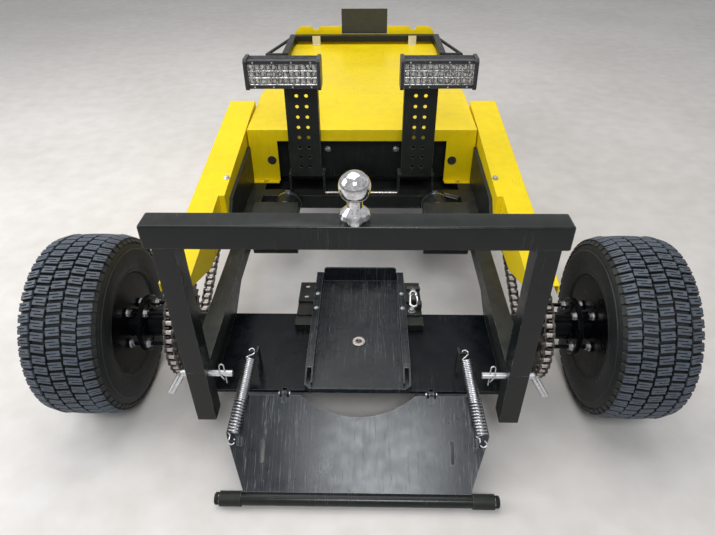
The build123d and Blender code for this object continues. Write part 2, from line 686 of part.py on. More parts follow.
def hinge_ears():
    """The two ears beside each flap knuckle, as places on X."""
    near = HINGE_KNUCKLE_LENGTH / 2 + HINGE_SIDE_GAP
    for _, sign in SIDES:
        for side in (-1, 1):
            x0 = sign * HINGE_X + side * near
            yield tuple(sorted((x0, x0 + side * HINGE_EAR)))


def hinge_pins():
    """The two short pins held in the deck's ears."""
    reach = HINGE_KNUCKLE_LENGTH / 2 + HINGE_SIDE_GAP + HINGE_EAR + 2
    return [
        rod_x(sign * HINGE_X - reach, sign * HINGE_X + reach, HINGE_Y, HINGE_Z, HINGE_PIN_R) for _, sign in SIDES
    ]


def turn_bolt():
    """Countersunk pivot bolt of the cradle, with its thrust washer on the deck and a nut below."""
    low, floor = DECK_TOP_Z - DECK_THICK, PAN_FLOOR_Z + PAN_SHEET
    bolt = rod_z(low - 12, floor - HEAD_DEPTH, 0, 0, PIVOT_BOLT_R)
    bolt += cone_z(floor - HEAD_DEPTH, floor - HEAD_SUNK, PIVOT_BOLT_R, HEAD_R)
    return bolt + rod_z(DECK_TOP_Z, PAN_FLOOR_Z - 0.3, 0, 0, 30) + rod_z(low - 10, low, 0, 0, 13)


def cone_z(z0, z1, radius0, radius1):
    """A cone frustum on the cradle's turning axis."""
    return Pos(0, 0, (z0 + z1) / 2) * Cone(radius0, radius1, z1 - z0)


def pan_outline(inset):
    """The cradle's plan, a rectangle with cut front corners."""
    half, cut = PAN_HALF - inset, PAN_CORNER
    y0, y1 = PAN_FRONT_Y + inset, PAN_REAR_Y - inset
    return [(-half + cut, y0), (half - cut, y0), (half, y0 + cut), (half, y1), (-half, y1), (-half, y0 + cut)]


def cradle_pan():
    """Nose-wheel cradle: a tray with folded-over sides, a low lip in front and a high wall at the rear."""
    floor, side_top = PAN_FLOOR_Z + PAN_SHEET, PAN_FLOOR_Z + PAN_SIDE_HEIGHT
    tray = slab_z(pan_outline(0), PAN_FLOOR_Z, side_top)
    tray -= slab_z(pan_outline(PAN_SHEET), floor, side_top)
    for _, sign in SIDES:
        inner = sign * (PAN_HALF - PAN_FOLD)
        rear, front = PAN_REAR_Y, PAN_FRONT_Y + PAN_CORNER + PAN_SHEET
        tray += block(inner, sign * PAN_HALF, front, rear, side_top - PAN_SHEET, side_top)
        tray += block(inner, inner + sign * PAN_SHEET, front, rear, PAN_FLOOR_Z, side_top)
    lip_z = PAN_FLOOR_Z + PAN_LIP
    over = slab_x([(PAN_FRONT_Y - 1, lip_z), (PAN_FRONT_Y + PAN_CORNER, lip_z), (PAN_FRONT_Y + PAN_LIP_RUN, side_top),
                   (PAN_FRONT_Y + PAN_LIP_RUN, side_top + 1), (PAN_FRONT_Y - 1, side_top + 1)],
                  -PAN_HALF - 1, PAN_HALF + 1)
    tray -= over
    wall = block(-PAN_WALL_HALF, PAN_WALL_HALF, PAN_REAR_Y - PAN_SHEET, PAN_REAR_Y, PAN_FLOOR_Z, PAN_WALL_TOP_Z)
    upper = wall.edges().filter_by(Axis.Y).group_by(Axis.Z)[-1]
    tray += fillet(upper, PAN_WALL_CORNER)
    bore = PIVOT_BOLT_R + PIVOT_FIT
    tray -= rod_z(PAN_FLOOR_Z, floor, 0, 0, bore)
    return tray - cone_z(floor - HEAD_DEPTH - HEAD_SUNK, floor, bore, HEAD_R + 2 * HEAD_SUNK)


def strap_wing(sign):
    """Bracket on the cradle's side: a drilled shelf, a lower step in front of it, and a low block."""
    near, far = sign * PAN_HALF, sign * (PAN_HALF + WING_REACH)
    base, top, step_top = PAN_FLOOR_Z, WING_TOP_Z, WING_TOP_Z - WING_STEP_DROP
    wing = block(near, far, WING_STEP_Y, WING_REAR_Y, top - PAN_SHEET, top)
    wing += block(near, far, WING_STEP_Y, WING_STEP_Y + PAN_SHEET, base, top)
    wing += block(near, far, WING_FRONT_Y, WING_STEP_Y + PAN_SHEET, step_top - PAN_SHEET, step_top)
    wing += block(near, far, WING_FRONT_Y, WING_FRONT_Y + PAN_SHEET, base, step_top)
    wing += block(near, near + sign * WING_BLOCK_WIDTH, WING_BLOCK_FRONT_Y, WING_FRONT_Y, base,
                  base + WING_BLOCK_HEIGHT)
    for y in wing_hole_places():
        wing -= rod_z(top - PAN_SHEET, top, sign * wing_hole_x(), y, WING_HOLE_R)
    return wing


def wing_hole_x():
    """How far from the middle plane a bracket's holes lie."""
    return PAN_HALF + WING_REACH / 2


def wing_hole_places():
    """The two strap holes of a bracket, as places on Y."""
    middle = (WING_STEP_Y + PAN_SHEET + WING_REAR_Y) / 2
    return middle - WING_HOLE_SPACING / 2, middle + WING_HOLE_SPACING / 2


def flap_plane():
    """Lies on the flap: its Y runs from the hinge to the tip and its X to the tug's left."""
    down = (0, -math.cos(FLAP_DROP_RAD), -math.sin(FLAP_DROP_RAD))
    normal = (0, -math.sin(FLAP_DROP_RAD), math.cos(FLAP_DROP_RAD))
    x_dir = Vector(*down).cross(Vector(*normal))
    return Plane(origin=(0, HINGE_Y, HINGE_Z), x_dir=x_dir, z_dir=normal)


def flap():
    """Ramp plate with an arc cut out for the turning cradle."""
    half = FLAP_SHEET / 2
    tip = FLAP_LENGTH - TIP_BAR_R
    outline = [
        (-FLAP_ROOT_HALF, FLAP_ROOT), (FLAP_ROOT_HALF, FLAP_ROOT), (FLAP_WIDE_HALF, FLAP_WIDE_AT),
        (FLAP_TIP_HALF, tip), (-FLAP_TIP_HALF, tip), (-FLAP_WIDE_HALF, FLAP_WIDE_AT),
    ]
    plate = extrude(make_face(Polyline(*outline, close=True)), amount=half, both=True)
    plate -= Pos(0, HINGE_Y, 0) * Cylinder(FLAP_ARC_R, FLAP_SHEET)
    for x in (-SLOT_X, SLOT_X):
        plate -= Pos(x, SLOT_AT, 0) * extrude(SlotOverall(SLOT_LENGTH, SLOT_WIDTH, rotation=90), half, both=True)
    wide = HINGE_KNUCKLE_LENGTH / 2 + 2 * HINGE_SIDE_GAP + HINGE_EAR
    for _, sign in SIDES:
        plate -= block(sign * HINGE_X - wide, sign * HINGE_X + wide, 0, HINGE_NOTCH, -half, half)
        knuckle = rod_x(sign * HINGE_X - HINGE_KNUCKLE_LENGTH / 2, sign * HINGE_X + HINGE_KNUCKLE_LENGTH / 2,
                        0, 0, HINGE_KNUCKLE_R)
        knuckle += block(sign * HINGE_X - HINGE_KNUCKLE_LENGTH / 2, sign * HINGE_X + HINGE_KNUCKLE_LENGTH / 2,
                         0, 2 * HINGE_NOTCH, -half, half + 1)
        plate += knuckle
        bore = HINGE_PIN_R + HINGE_FIT
        plate -= rod_x(sign * HINGE_X - HINGE_KNUCKLE_LENGTH, sign * HINGE_X + HINGE_KNUCKLE_LENGTH, 0, 0, bore)
        lug = sign * (SPRING_EYE_X - SPRING_COIL_R - SPRING_TAB)
        eye_z, reach = half + SPRING_EYE_HEIGHT, SPRING_TAB_HEAD / 2
        plate += block(lug, lug + sign * SPRING_TAB, SPRING_EYE_AT - reach, SPRING_EYE_AT + reach, half,
                       eye_z + SPRING_TAB_RISE)
        plate += rod_x(lug, sign * (SPRING_EYE_X + 6), SPRING_EYE_AT, eye_z, SPRING_EYE_R)
    return flap_plane().location * plate


def tip_bar():
    """Round bar along the flap's tip, with a sleeve and a nut at each end."""
    y = HINGE_Y - FLAP_LENGTH * math.cos(FLAP_DROP_RAD)
    bar = rod_x(-TIP_BAR_HALF, TIP_BAR_HALF, y, BAR_Z, TIP_BAR_R - 2)
    bar += rod_x(-SLEEVE_END_X, SLEEVE_END_X, y, BAR_Z, TIP_BAR_R)
    sleeves = []
    for _, sign in SIDES:
        inner, outer = sign * (SLEEVE_END_X - SLEEVE_LENGTH), sign * SLEEVE_END_X
        sleeve = rod_x(inner, outer, y, BAR_Z, SLEEVE_R)
        sleeves.append(sleeve - rod_x(inner, outer, y, BAR_Z, TIP_BAR_R))
        bar += nut(sign * SLEEVE_END_X, sign * (SLEEVE_END_X + 8), y, BAR_Z, 24)
    return bar, sleeves


def spring_foot(sign):
    """The middle of the flap's eye pin that the spring hooks on."""
    return flap_plane().from_local_coords((-sign * SPRING_EYE_X, SPRING_EYE_AT, FLAP_SHEET / 2 + SPRING_EYE_HEIGHT))


def spring(sign):
    """Extension spring as the envelope of its coils, with a hook bar at each end."""
    head, foot = Vector(sign * SPRING_ANCHOR_X, SPRING_ANCHOR_Y, SPRING_ANCHOR_Z), spring_foot(sign)
    along = foot - head
    seat = SPRING_EYE_R + HOOK_GAP
    coil = along.length - 2 * seat - 2 * SPRING_HOOK
    place = Plane(origin=head + along * 0.5, z_dir=along.normalized()).location
    body = Cylinder(SPRING_COIL_R, coil) - Cylinder(SPRING_COIL_R - 2 * SPRING_WIRE_R, coil - 4)
    for end in (-1, 1):
        body += Pos(0, 0, end * (coil + SPRING_HOOK) / 2) * Cylinder(SPRING_WIRE_R, SPRING_HOOK)
    return place * body


def spring_bracket(sign):
    """Upright tab on the deck, with a cross pin for the spring's hook."""
    x = sign * (SPRING_ANCHOR_X - SPRING_COIL_R - SPRING_TAB)
    y, z = SPRING_ANCHOR_Y, SPRING_ANCHOR_Z
    foot, head, top = SPRING_TAB_FOOT / 2, SPRING_TAB_HEAD / 2, z + SPRING_TAB_RISE
    tab = slab_x([(y - foot, DECK_TOP_Z), (y + foot, DECK_TOP_Z), (y + head, top), (y - head, top)],
                 x, x + sign * SPRING_TAB)
    return tab + rod_x(x, sign * (SPRING_ANCHOR_X + 2 * SPRING_EYE_R), y, z, SPRING_EYE_R)


def hood_front():
    """Front part of the cover: a shell with a wide mouth that is open below."""
    side = [(HOOD_FRONT_Y, RAIL_TOP_Z), (HOOD_FRONT_Y, HOOD_FRONT_Z), (HOOD_CREASE_Y, HOOD_CREASE_Z),
            (HOOD_CREASE_Y, RAIL_TOP_Z)]
    inner = [(HOOD_FRONT_Y + SHEET, RAIL_TOP_Z - 1), (HOOD_FRONT_Y + SHEET, HOOD_FRONT_Z - SHEET),
             (HOOD_CREASE_Y + 1, HOOD_CREASE_Z - SHEET), (HOOD_CREASE_Y + 1, RAIL_TOP_Z - 1)]
    shell = slab_x(side, -HOOD_HALF, HOOD_HALF) - slab_x(inner, SHEET - HOOD_HALF, HOOD_HALF - SHEET)
    shell -= block(-MOUTH_HALF, MOUTH_HALF, HOOD_FRONT_Y - 1, HOOD_FRONT_Y + SHEET + 1, RAIL_TOP_Z - 1, MOUTH_TOP_Z)
    for _, sign in SIDES:
        shell -= rod_y(HOOD_FRONT_Y - 1, HOOD_FRONT_Y + SHEET + 1, sign * PLUG_X, PLUG_Z, PLUG_HOLE_R)
    return shell


def hood_plugs():
    """Rubber plugs in the hood's front legs."""
    plugs = []
    for _, sign in SIDES:
        plug = rod_y(HOOD_FRONT_Y, HOOD_FRONT_Y + SHEET, sign * PLUG_X, PLUG_Z, PLUG_HOLE_R)
        plugs.append(plug + rod_y(HOOD_FRONT_Y - 2, HOOD_FRONT_Y, sign * PLUG_X, PLUG_Z, PLUG_HOLE_R + 2))
    return plugs


def hood_section(y, inset, down):
    """A cross-section of the rear cover, between the crease and its rear edge."""
    share = (y - HOOD_CREASE_Y) / (HOOD_REAR_Y - HOOD_CREASE_Y)
    half = HOOD_HALF + (HOOD_REAR_HALF - HOOD_HALF) * share - inset
    top = HOOD_CREASE_Z + (HOOD_REAR_Z - HOOD_CREASE_Z) * share - inset
    points = [(-half, RAIL_TOP_Z - down), (half, RAIL_TOP_Z - down), (half, top), (-half, top)]
    plane = Plane(origin=(0, y, 0), x_dir=(1, 0, 0), z_dir=(0, -1, 0))
    return plane * make_face(Polyline(*points, close=True))


def hood_rear():
    """Long tapering part of the cover behind the crease, closed at its rear."""
    start = HOOD_CREASE_Y + HOOD_SEAM
    shell = loft([hood_section(start, 0, 0), hood_section(HOOD_REAR_Y, 0, 0)], ruled=True)
    return shell - loft([hood_section(start - 1, SHEET, 1), hood_section(HOOD_REAR_Y - SHEET, SHEET, 1)], ruled=True)


def fender_top_at(y):
    """Height of the sloping chain guard at a place on Y."""
    return FENDER_FRONT_Z + (y - FENDER_FRONT_Y) * FENDER_SLOPE


def fender(sign):
    """Chain guard: a sloping top with an inner skirt, narrower in front of the motor plate."""
    x0, x1 = FENDER_INNER_X, FENDER_INNER_X + FENDER_WIDTH
    step_y = MOTOR_PLATE_FRONT_Y
    pieces = []
    for start, end, inner in ((FENDER_FRONT_Y, step_y + SHEET, x0 + FENDER_STEP), (step_y, FENDER_REAR_Y, x0)):
        a, b = fender_top_at(start), fender_top_at(end)
        pieces.append(slab_x([(start, a - SHEET), (end, b - SHEET), (end, b), (start, a)], sign * inner, sign * x1))
        skirt = [(end, FENDER_SKIRT_Z), (end, b), (start, a)]
        if start == FENDER_FRONT_Y:
            skirt += [(start, a - FENDER_NOSE), (FENDER_SKIRT_Y, FENDER_SKIRT_Z)]
        else:
            skirt += [(start, FENDER_SKIRT_Z)]
        pieces.append(slab_x(skirt, sign * inner, sign * (inner + SHEET)))
    joggle_top = fender_top_at(step_y)
    pieces.append(block(sign * x0, sign * (x0 + FENDER_STEP + SHEET), step_y, step_y + SHEET,
                        FENDER_SKIRT_Z, joggle_top))
    a, b = fender_top_at(FENDER_FRONT_Y), fender_top_at(FENDER_REAR_Y)
    pieces.append(slab_x([(FENDER_FRONT_Y, a - FENDER_LIP), (FENDER_REAR_Y, b - FENDER_LIP), (FENDER_REAR_Y, b),
                          (FENDER_FRONT_Y, a)], sign * (x1 - SHEET), sign * x1))
    guard = pieces[0]
    for piece in pieces[1:]:
        guard += piece
    return guard


def motor_plate(sign, motor):
    """Upright plate on the rail's outer face that carries the drive and the chain guard."""
    x0, x1 = RAIL_OUTER_X, RAIL_OUTER_X + MOTOR_PLATE_THICK
    front, rear = MOTOR_PLATE_FRONT_Y, MOTOR_PLATE_REAR_Y
    top = MOTOR_PLATE_TOP_Z
    outline = [(front, RAIL_BOTTOM_Z - 30), (rear, RAIL_BOTTOM_Z), (rear, top), (front + 40, top - 20),
               (front, top - 60)]
    plate = slab_x(outline, sign * x0, sign * x1)
    return plate - rod_x(sign * (x0 - 1), sign * (x1 + 1), motor[0], motor[1], SHAFT_R + 2)


def gear_motor(sign, motor):
    """Right-angle gearbox inside the rail, its motor can pointing to the rear."""
    y, z = motor
    inner, outer = GEARBOX_INNER_X, RAIL_INNER_X
    box = block(sign * inner, sign * outer, y - GEARBOX_HALF_LENGTH, y + GEARBOX_HALF_LENGTH,
                z - GEARBOX_HALF_HEIGHT, z + GEARBOX_HALF_HEIGHT)
    box = fillet(box.edges().filter_by(Axis.X), 14)
    can_x = sign * (inner + MOTOR_CAN_R + 6)
    box += rod_y(y + GEARBOX_HALF_LENGTH, MOTOR_CAN_END_Y, can_x, z, MOTOR_CAN_R)
    return box + rod_x(sign * outer, sign * (CHAIN_X + SPROCKET_THICK / 2 + 8), y, z, SHAFT_R)


def cross_tube(y, z_top, half, size, wall):
    """A square tube across the frame."""
    middle = z_top - size / 2
    outer = block(-half, half, y - size / 2, y + size / 2, z_top - size, z_top)
    bore = size / 2 - wall
    return outer - block(-half, half, y - bore, y + bore, middle - bore, middle + bore)


def lamp_post(sign):
    """Channel with two columns of holes, standing on a foot over the cross tube."""
    x0, x1 = POST_INNER_X, POST_INNER_X + POST_WIDTH
    y0, y1 = POST_FRONT_Y, POST_FRONT_Y + POST_DEPTH
    post = block(sign * x0, sign * x1, y0, y1, POST_FOOT_Z, POST_TOP_Z)
    post -= block(sign * (x0 + POST_SHEET), sign * (x1 - POST_SHEET), y0 + POST_SHEET, y1 + 1,
                  POST_FOOT_Z - 1, POST_TOP_Z + 1)
    centre = sign * (x0 + x1) / 2
    for side in (-0.5, 0.5):
        for row in range(HOLE_ROWS):
            z = HOLE_TOP_Z - HOLE_ROW_PITCH * row
            post -= rod_y(y0 - 1, y0 + POST_SHEET + 1, centre + side * HOLE_COLUMN_PITCH, z, HOLE_R)
    foot_y1 = CROSS_Y + TUBE / 2
    foot = block(sign * (x0 - 8), sign * (x1 + 6), y0, foot_y1, POST_FOOT_Z - 5, POST_FOOT_Z)
    for x in (x0 - 8, x1 + 1):
        foot += block(sign * x, sign * (x + 5), y0, foot_y1, RAIL_TOP_Z, POST_FOOT_Z)
    return post + foot


def lamp_outline(inset):
    """The lamp's side, as (y, z) points with cut corners."""
    y0, y1 = POST_FRONT_Y - LAMP_DEPTH + inset, POST_FRONT_Y
    z0, z1, cut = LAMP_BOTTOM_Z + inset, LAMP_BOTTOM_Z + LAMP_HEIGHT - inset, LAMP_CORNER
    return [(y0, z0 + cut / 2), (y0 + cut / 2, z0), (y1 - cut, z0), (y1, z0 + cut), (y1, z1 - cut), (y1 - cut, z1),
            (y0 + cut / 2, z1), (y0, z1 - cut / 2)]


def lamp(sign):
    """Three-row work lamp: two end plates, and between them a finned body with a recess for the reflectors."""
    x, half = sign * LAMP_CENTRE_X, LAMP_WIDTH / 2
    body_half = half - LAMP_END_PLATE
    y0, z1 = POST_FRONT_Y - LAMP_DEPTH, LAMP_BOTTOM_Z + LAMP_HEIGHT
    body = slab_x(lamp_outline(LAMP_INSET), x - body_half, x + body_half)
    recess_low, recess_high = LAMP_BOTTOM_Z + LAMP_INSET + LAMP_RIM, z1 - LAMP_INSET - LAMP_RIM
    body -= block(x - body_half + 1, x + body_half - 1, y0, y0 + LAMP_INSET + CUP_DEEP, recess_low, recess_high)
    for fin in range(6):
        y = y0 + 20 + 6 * fin
        body -= block(x - body_half, x + body_half, y, y + 3.5, z1 - LAMP_INSET - 7, z1)
    for side in (-1, 1):
        body += slab_x(lamp_outline(0), x + side * body_half, x + side * half)
    return body


def reflectors(sign):
    """Reflector cups of the lamp, in rows on one plate that fills the recess."""
    x, half = sign * LAMP_CENTRE_X, LAMP_WIDTH / 2 - LAMP_END_PLATE - 1
    y0 = POST_FRONT_Y - LAMP_DEPTH + LAMP_INSET
    z0 = LAMP_BOTTOM_Z + LAMP_INSET + LAMP_RIM
    z1 = LAMP_BOTTOM_Z + LAMP_HEIGHT - LAMP_INSET - LAMP_RIM
    plate = block(x - half, x + half, y0, y0 + CUP_DEEP, z0, z1)
    cell_x, cell_z = 2 * half / CUP_COLUMNS, (z1 - z0) / CUP_ROWS
    for row in range(CUP_ROWS):
        for column in range(CUP_COLUMNS):
            low_x, low_z = x - half + cell_x * column, z0 + cell_z * row
            plate -= block(low_x + CUP_WEB, low_x + cell_x - CUP_WEB, y0, y0 + CUP_DEEP - 2 * CUP_WEB,
                           low_z + CUP_WEB, low_z + cell_z - CUP_WEB)
    return plate


def bulkhead():
    """Dark panel inside the hood's mouth."""
    half = HOOD_HALF - SHEET - 1
    return block(-half, half, BULKHEAD_Y, BULKHEAD_Y + SHEET, RAIL_TOP_Z, HOOD_FRONT_Z - SHEET - 1)


def tie_rod():
    """Bright rod between the lamp posts' feet."""
    reach = POST_INNER_X - 8
    return rod_x(-reach, reach, POST_FRONT_Y + 5, RAIL_TOP_Z + 9, 3)


def floor_plate():
    """Belly sheet under the rails, from behind the motors to the caster beam."""
    return block(-RAIL_CENTRE_X, RAIL_CENTRE_X, MOTOR_CAN_END_Y + FLOOR_GAP_Y, CASTER_Y - TUBE / 2,
                 RAIL_BOTTOM_Z - FLOOR_SHEET, RAIL_BOTTOM_Z)


def battery():
    """Battery pack as one plain block at its real place."""
    base = RAIL_BOTTOM_Z
    return block(-BATTERY_HALF, BATTERY_HALF, BATTERY_FRONT_Y, BATTERY_REAR_Y, base, base + BATTERY_HEIGHT)


def rear_guard():
    """Square-tube guard: a rear bar with two arms along the hood, on four posts."""
    half, top, inner = HOOP_TUBE / 2, HOOP_TOP_Z, HOOP_HALF - HOOP_TUBE
    guard = block(-HOOP_HALF, HOOP_HALF, HOOP_Y - half, HOOP_Y + half, top - HOOP_TUBE, top)
    for _, sign in SIDES:
        guard += block(sign * inner, sign * HOOP_HALF, ARM_FRONT_Y, HOOP_Y + half, top - HOOP_TUBE, top)
        guard += block(sign * inner, sign * HOOP_HALF, HOOP_Y - half, HOOP_Y + half, RAIL_TOP_Z, top)
    return guard


def rear_panel():
    """Upright yellow panel behind the guard, cut out for the control box and notched along its top."""
    y0 = HOOP_Y + HOOP_TUBE / 2
    half, top, cut = REAR_PANEL_HALF, REAR_PANEL_TOP_Z, REAR_PANEL_BEVEL
    slot, low = CONTROL_BOX_HALF + BOX_GAP, CONTROL_BOX_BOTTOM_Z - BOX_GAP
    outline = [(-half, RAIL_TOP_Z), (half, RAIL_TOP_Z), (half, top - cut), (half - cut, top), (slot, top), (slot, low),
               (-slot, low), (-slot, top), (cut - half, top), (-half, top - cut)]
    panel = slab_y(outline, y0, y0 + SHEET)
    for _, sign in SIDES:
        panel -= rod_y(y0 - 1, y0 + SHEET + 1, sign * PANEL_NOTCH_X, top, PANEL_NOTCH_R)
    return panel


def control_box():
    """Operator's box with a sloping top, set into the rear panel and bolted behind the guard's bar."""
    y0 = HOOP_Y + HOOP_TUBE / 2
    y1 = y0 + CONTROL_BOX_DEPTH
    low, high = CONTROL_BOX_BOTTOM_Z - HOOP_TUBE / 2, CONTROL_BOX_TOP_Z
    side = [(y0, CONTROL_BOX_BOTTOM_Z), (y0 + SHEET + BOX_GAP, CONTROL_BOX_BOTTOM_Z), (y0 + SHEET + BOX_GAP, low),
            (y1, low), (y1, high - 30), (y0, high)]
    return slab_x(side, -CONTROL_BOX_HALF, CONTROL_BOX_HALF)


def hood_catch(sign):
    """Bent catch on the hood's rear edge, in front of the guard's bar."""
    x0, x1 = sign * CATCH_X - CATCH_WIDTH / 2, sign * CATCH_X + CATCH_WIDTH / 2
    y1, z0 = HOOD_REAR_Y, HOOD_REAR_Z
    share = CATCH_FOOT / (HOOD_REAR_Y - HOOD_CREASE_Y)
    front_z = z0 + (HOOD_CREASE_Z - HOOD_REAR_Z) * share
    outline = [(y1 - CATCH_FOOT, front_z), (y1, z0), (y1, z0 + CATCH_HEIGHT), (y1 - CATCH_SHEET, z0 + CATCH_HEIGHT),
               (y1 - CATCH_SHEET, z0 + CATCH_SHEET), (y1 - CATCH_FOOT, front_z + CATCH_SHEET)]
    return slab_x(outline, x0, x1)


def guard_loop(sign):
    """Thin three-cornered loop on the outer face of the guard's arm."""
    z = HOOP_TOP_Z - HOOP_TUBE / 2
    corner = Vector(sign * (HOOP_HALF + LOOP_OUT), LOOP_FRONT_Y, z)
    loop = Pos(*corner) * Sphere(LOOP_R)
    for y in (HOOP_Y, LOOP_FRONT_Y):
        start = Vector(sign * (HOOP_HALF - LOOP_R), y, z)
        along = corner - start
        loop += Plane(origin=start + along * 0.5, z_dir=along.normalized()).location * Cylinder(LOOP_R, along.length)
    return loop - block(sign * (HOOP_HALF - HOOP_TUBE), sign * HOOP_HALF, ARM_FRONT_Y, HOOP_Y + HOOP_TUBE,
                        z - HOOP_TUBE, z + HOOP_TUBE)


def caster_fork():
    """Swivel fork of a rear caster, standing under its swivel point, wheel trailing to the front."""
    leg_top = CASTER_TOP_Z - CASTER_PLATE - 10
    inner = CASTER_WHEEL_WIDTH / 2 + CASTER_SIDE_GAP
    outer = inner + CASTER_FORK_SHEET
    y = -CASTER_TRAIL
    fork = block(-outer, outer, y - 30, 34, leg_top - CASTER_FORK_SHEET, leg_top)
    for side in (-1, 1):
        outline = [(y - 18, CASTER_WHEEL_R - 16), (y + 18, CASTER_WHEEL_R - 16), (34, leg_top), (y - 30, leg_top)]
        fork += slab_x(outline, side * inner, side * outer)
    fork += rod_z(leg_top, leg_top + 9.5, 0, 0, 30)
    return fork + rod_x(-outer - 4, outer + 4, y, CASTER_WHEEL_R, CASTER_AXLE_R)


def caster_wheel():
    """Plain caster wheel with a slightly crowned tread."""
    half, y = CASTER_WHEEL_WIDTH / 2, -CASTER_TRAIL
    wheel = rod_x(-half, half, y, CASTER_WHEEL_R, CASTER_WHEEL_R)
    wheel = chamfer(wheel.edges(), 4)
    wheel += rod_x(-half - 3, half + 3, y, CASTER_WHEEL_R, 16)
    return wheel - rod_x(-half - 4, half + 4, y, CASTER_WHEEL_R, CASTER_AXLE_R + CASTER_FIT)


def caster_plate():
    """Top plate of a caster, bolted under the rear beam."""
    x, y = CASTER_PLATE_HALF_X, CASTER_PLATE_HALF_Y
    return block(-x, x, -y, y, CASTER_TOP_Z - CASTER_PLATE, CASTER_TOP_Z)


def both(make, *rest):
    """The left and the right copy of a piece."""
    return [make(sign, *rest) for _, sign in SIDES]


def main():
    os.makedirs("parts", exist_ok=True)
    motor, pins = chain_layout()
    wheel_phase = MOTOR_LIFT_DEG + 180
    motor_phase = first_pin_angle(motor, pins)
    for name, sign in SIDES:
        emit("tyre_" + name, tyre(sign))
        emit("rim_" + name, rim(sign))
        emit("hub_" + name, hub(sign))
        emit("wheel_sprocket_" + name, wheel_sprocket(sign, wheel_phase))
        emit("chain_" + name, *chain(sign, pins, motor))
        emit("motor_sprocket_" + name, motor_sprocket(sign, motor, motor_phase))
        emit("fender_" + name, fender(sign))
        place = Pos(sign * CASTER_X, CASTER_Y, 0)
        emit("caster_fork_" + name, place * caster_fork())
        emit("caster_wheel_" + name, place * caster_wheel())
    emit("rails", *both(rail, motor))
    emit("side_plates", *both(side_plate))
    emit("spindles", *both(spindle))
    emit("socket_posts", *both(socket_post))
    emit("gantry_uprights", *both(gantry_upright))
    emit("hitch_pins", *both(hitch_pin))
    emit("springs", *both(spring))
    emit("spring_brackets", *both(spring_bracket))
    emit("motor_plates", *both(motor_plate, motor))
    emit("gear_motors", *both(gear_motor, motor))
    emit("lamp_posts", *both(lamp_post))
    emit("lamps", *both(lamp))
    emit("reflectors", *both(reflectors))
    emit("strap_wings", *both(strap_wing))
    emit("caster_plates", *[Pos(sign * CASTER_X, CASTER_Y, 0) * caster_plate() for _, sign in SIDES])
    emit("gantry_bar", gantry_bar())
    emit("tow_ball", tow_ball())
    emit("deck", deck())
    emit("hinge_pins", *hinge_pins())
    emit("turn_bolt", turn_bolt())
    emit("cradle_pan", cradle_pan())
    emit("ramp_flap", flap())
    bar, sleeves = tip_bar()
    emit("tip_bar", bar)
    emit("tip_sleeves", *sleeves)
    emit("hood_front", hood_front())
    emit("hood_plugs", *hood_plugs())
    emit("hood_rear", hood_rear())
    emit("bulkhead", bulkhead())
    emit("cross_tube", cross_tube(CROSS_Y, RAIL_TOP_Z, RAIL_INNER_X, TUBE, TUBE_WALL))
    emit("caster_beam", cross_tube(CASTER_Y, RAIL_BOTTOM_Z, RAIL_OUTER_X, TUBE, TUBE_WALL))
    emit("tie_rod", tie_rod())
    emit("floor_plate", floor_plate())
    emit("battery", battery())
    emit("rear_guard", rear_guard())
    emit("rear_panel", rear_panel())
    emit("hood_catches", *both(hood_catch))
    emit("guard_loops", *both(guard_loop))
    emit("control_box", control_box())


main()
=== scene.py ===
# %% [markdown]
# # An electric aircraft tug, dressed for the camera
# The real tug is a low frame of square tubes on two fat turf tyres and two casters.
# A small aircraft's nose wheel rolls up the ramp into a turning cradle, and chains drive the tyres.
# The welded and bolted structure comes in as a fixed frame of measured parts.
# This lesson adds what makes it look real: paint, wear, tyre treads, roller chains, springs and lamps.

# %% Load the fixed frame
import json
import math

import bmesh
import bpy
from mathutils import Matrix, Vector

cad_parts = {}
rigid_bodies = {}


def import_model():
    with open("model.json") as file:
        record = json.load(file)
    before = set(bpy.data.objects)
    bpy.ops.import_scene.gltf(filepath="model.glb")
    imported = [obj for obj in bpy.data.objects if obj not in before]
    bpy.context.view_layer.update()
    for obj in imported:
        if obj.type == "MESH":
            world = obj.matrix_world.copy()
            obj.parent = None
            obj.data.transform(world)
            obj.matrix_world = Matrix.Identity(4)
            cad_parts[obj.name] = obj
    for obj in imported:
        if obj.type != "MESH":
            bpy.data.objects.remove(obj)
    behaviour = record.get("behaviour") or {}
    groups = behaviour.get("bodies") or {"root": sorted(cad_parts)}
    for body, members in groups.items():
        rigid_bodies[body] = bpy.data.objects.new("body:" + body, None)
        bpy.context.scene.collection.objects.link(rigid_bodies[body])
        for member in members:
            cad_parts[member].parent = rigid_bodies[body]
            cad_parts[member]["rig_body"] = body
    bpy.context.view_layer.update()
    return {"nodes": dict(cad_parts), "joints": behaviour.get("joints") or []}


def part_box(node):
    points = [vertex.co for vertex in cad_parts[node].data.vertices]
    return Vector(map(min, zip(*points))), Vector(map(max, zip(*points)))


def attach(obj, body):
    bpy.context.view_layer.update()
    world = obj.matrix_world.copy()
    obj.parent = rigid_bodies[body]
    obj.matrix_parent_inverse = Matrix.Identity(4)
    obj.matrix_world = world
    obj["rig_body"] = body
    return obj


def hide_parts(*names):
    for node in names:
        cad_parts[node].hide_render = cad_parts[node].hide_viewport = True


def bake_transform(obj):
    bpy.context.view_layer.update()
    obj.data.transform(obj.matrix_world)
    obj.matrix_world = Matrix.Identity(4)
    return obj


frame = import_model()
mm = 0.001
SIDES = (("left", -1), ("right", 1))

# %% [markdown]
# ## Where things are
# Every size in the scene hangs on the frame, so pieces land on their seats without any fitting.
# A box round a node gives its corners, and a joint gives the line that a part turns about.
# Reading these once keeps later cells free of bare coordinates.

# %% Read the places that later pieces need
RIGHT, BACK, UP = Vector((1, 0, 0)), Vector((0, 1, 0)), Vector((0, 0, 1))
FULL_TURN = 2 * math.pi


def middle(node_name):
    """The centre of a node's box."""
    low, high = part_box(node_name)
    return (low + high) / 2


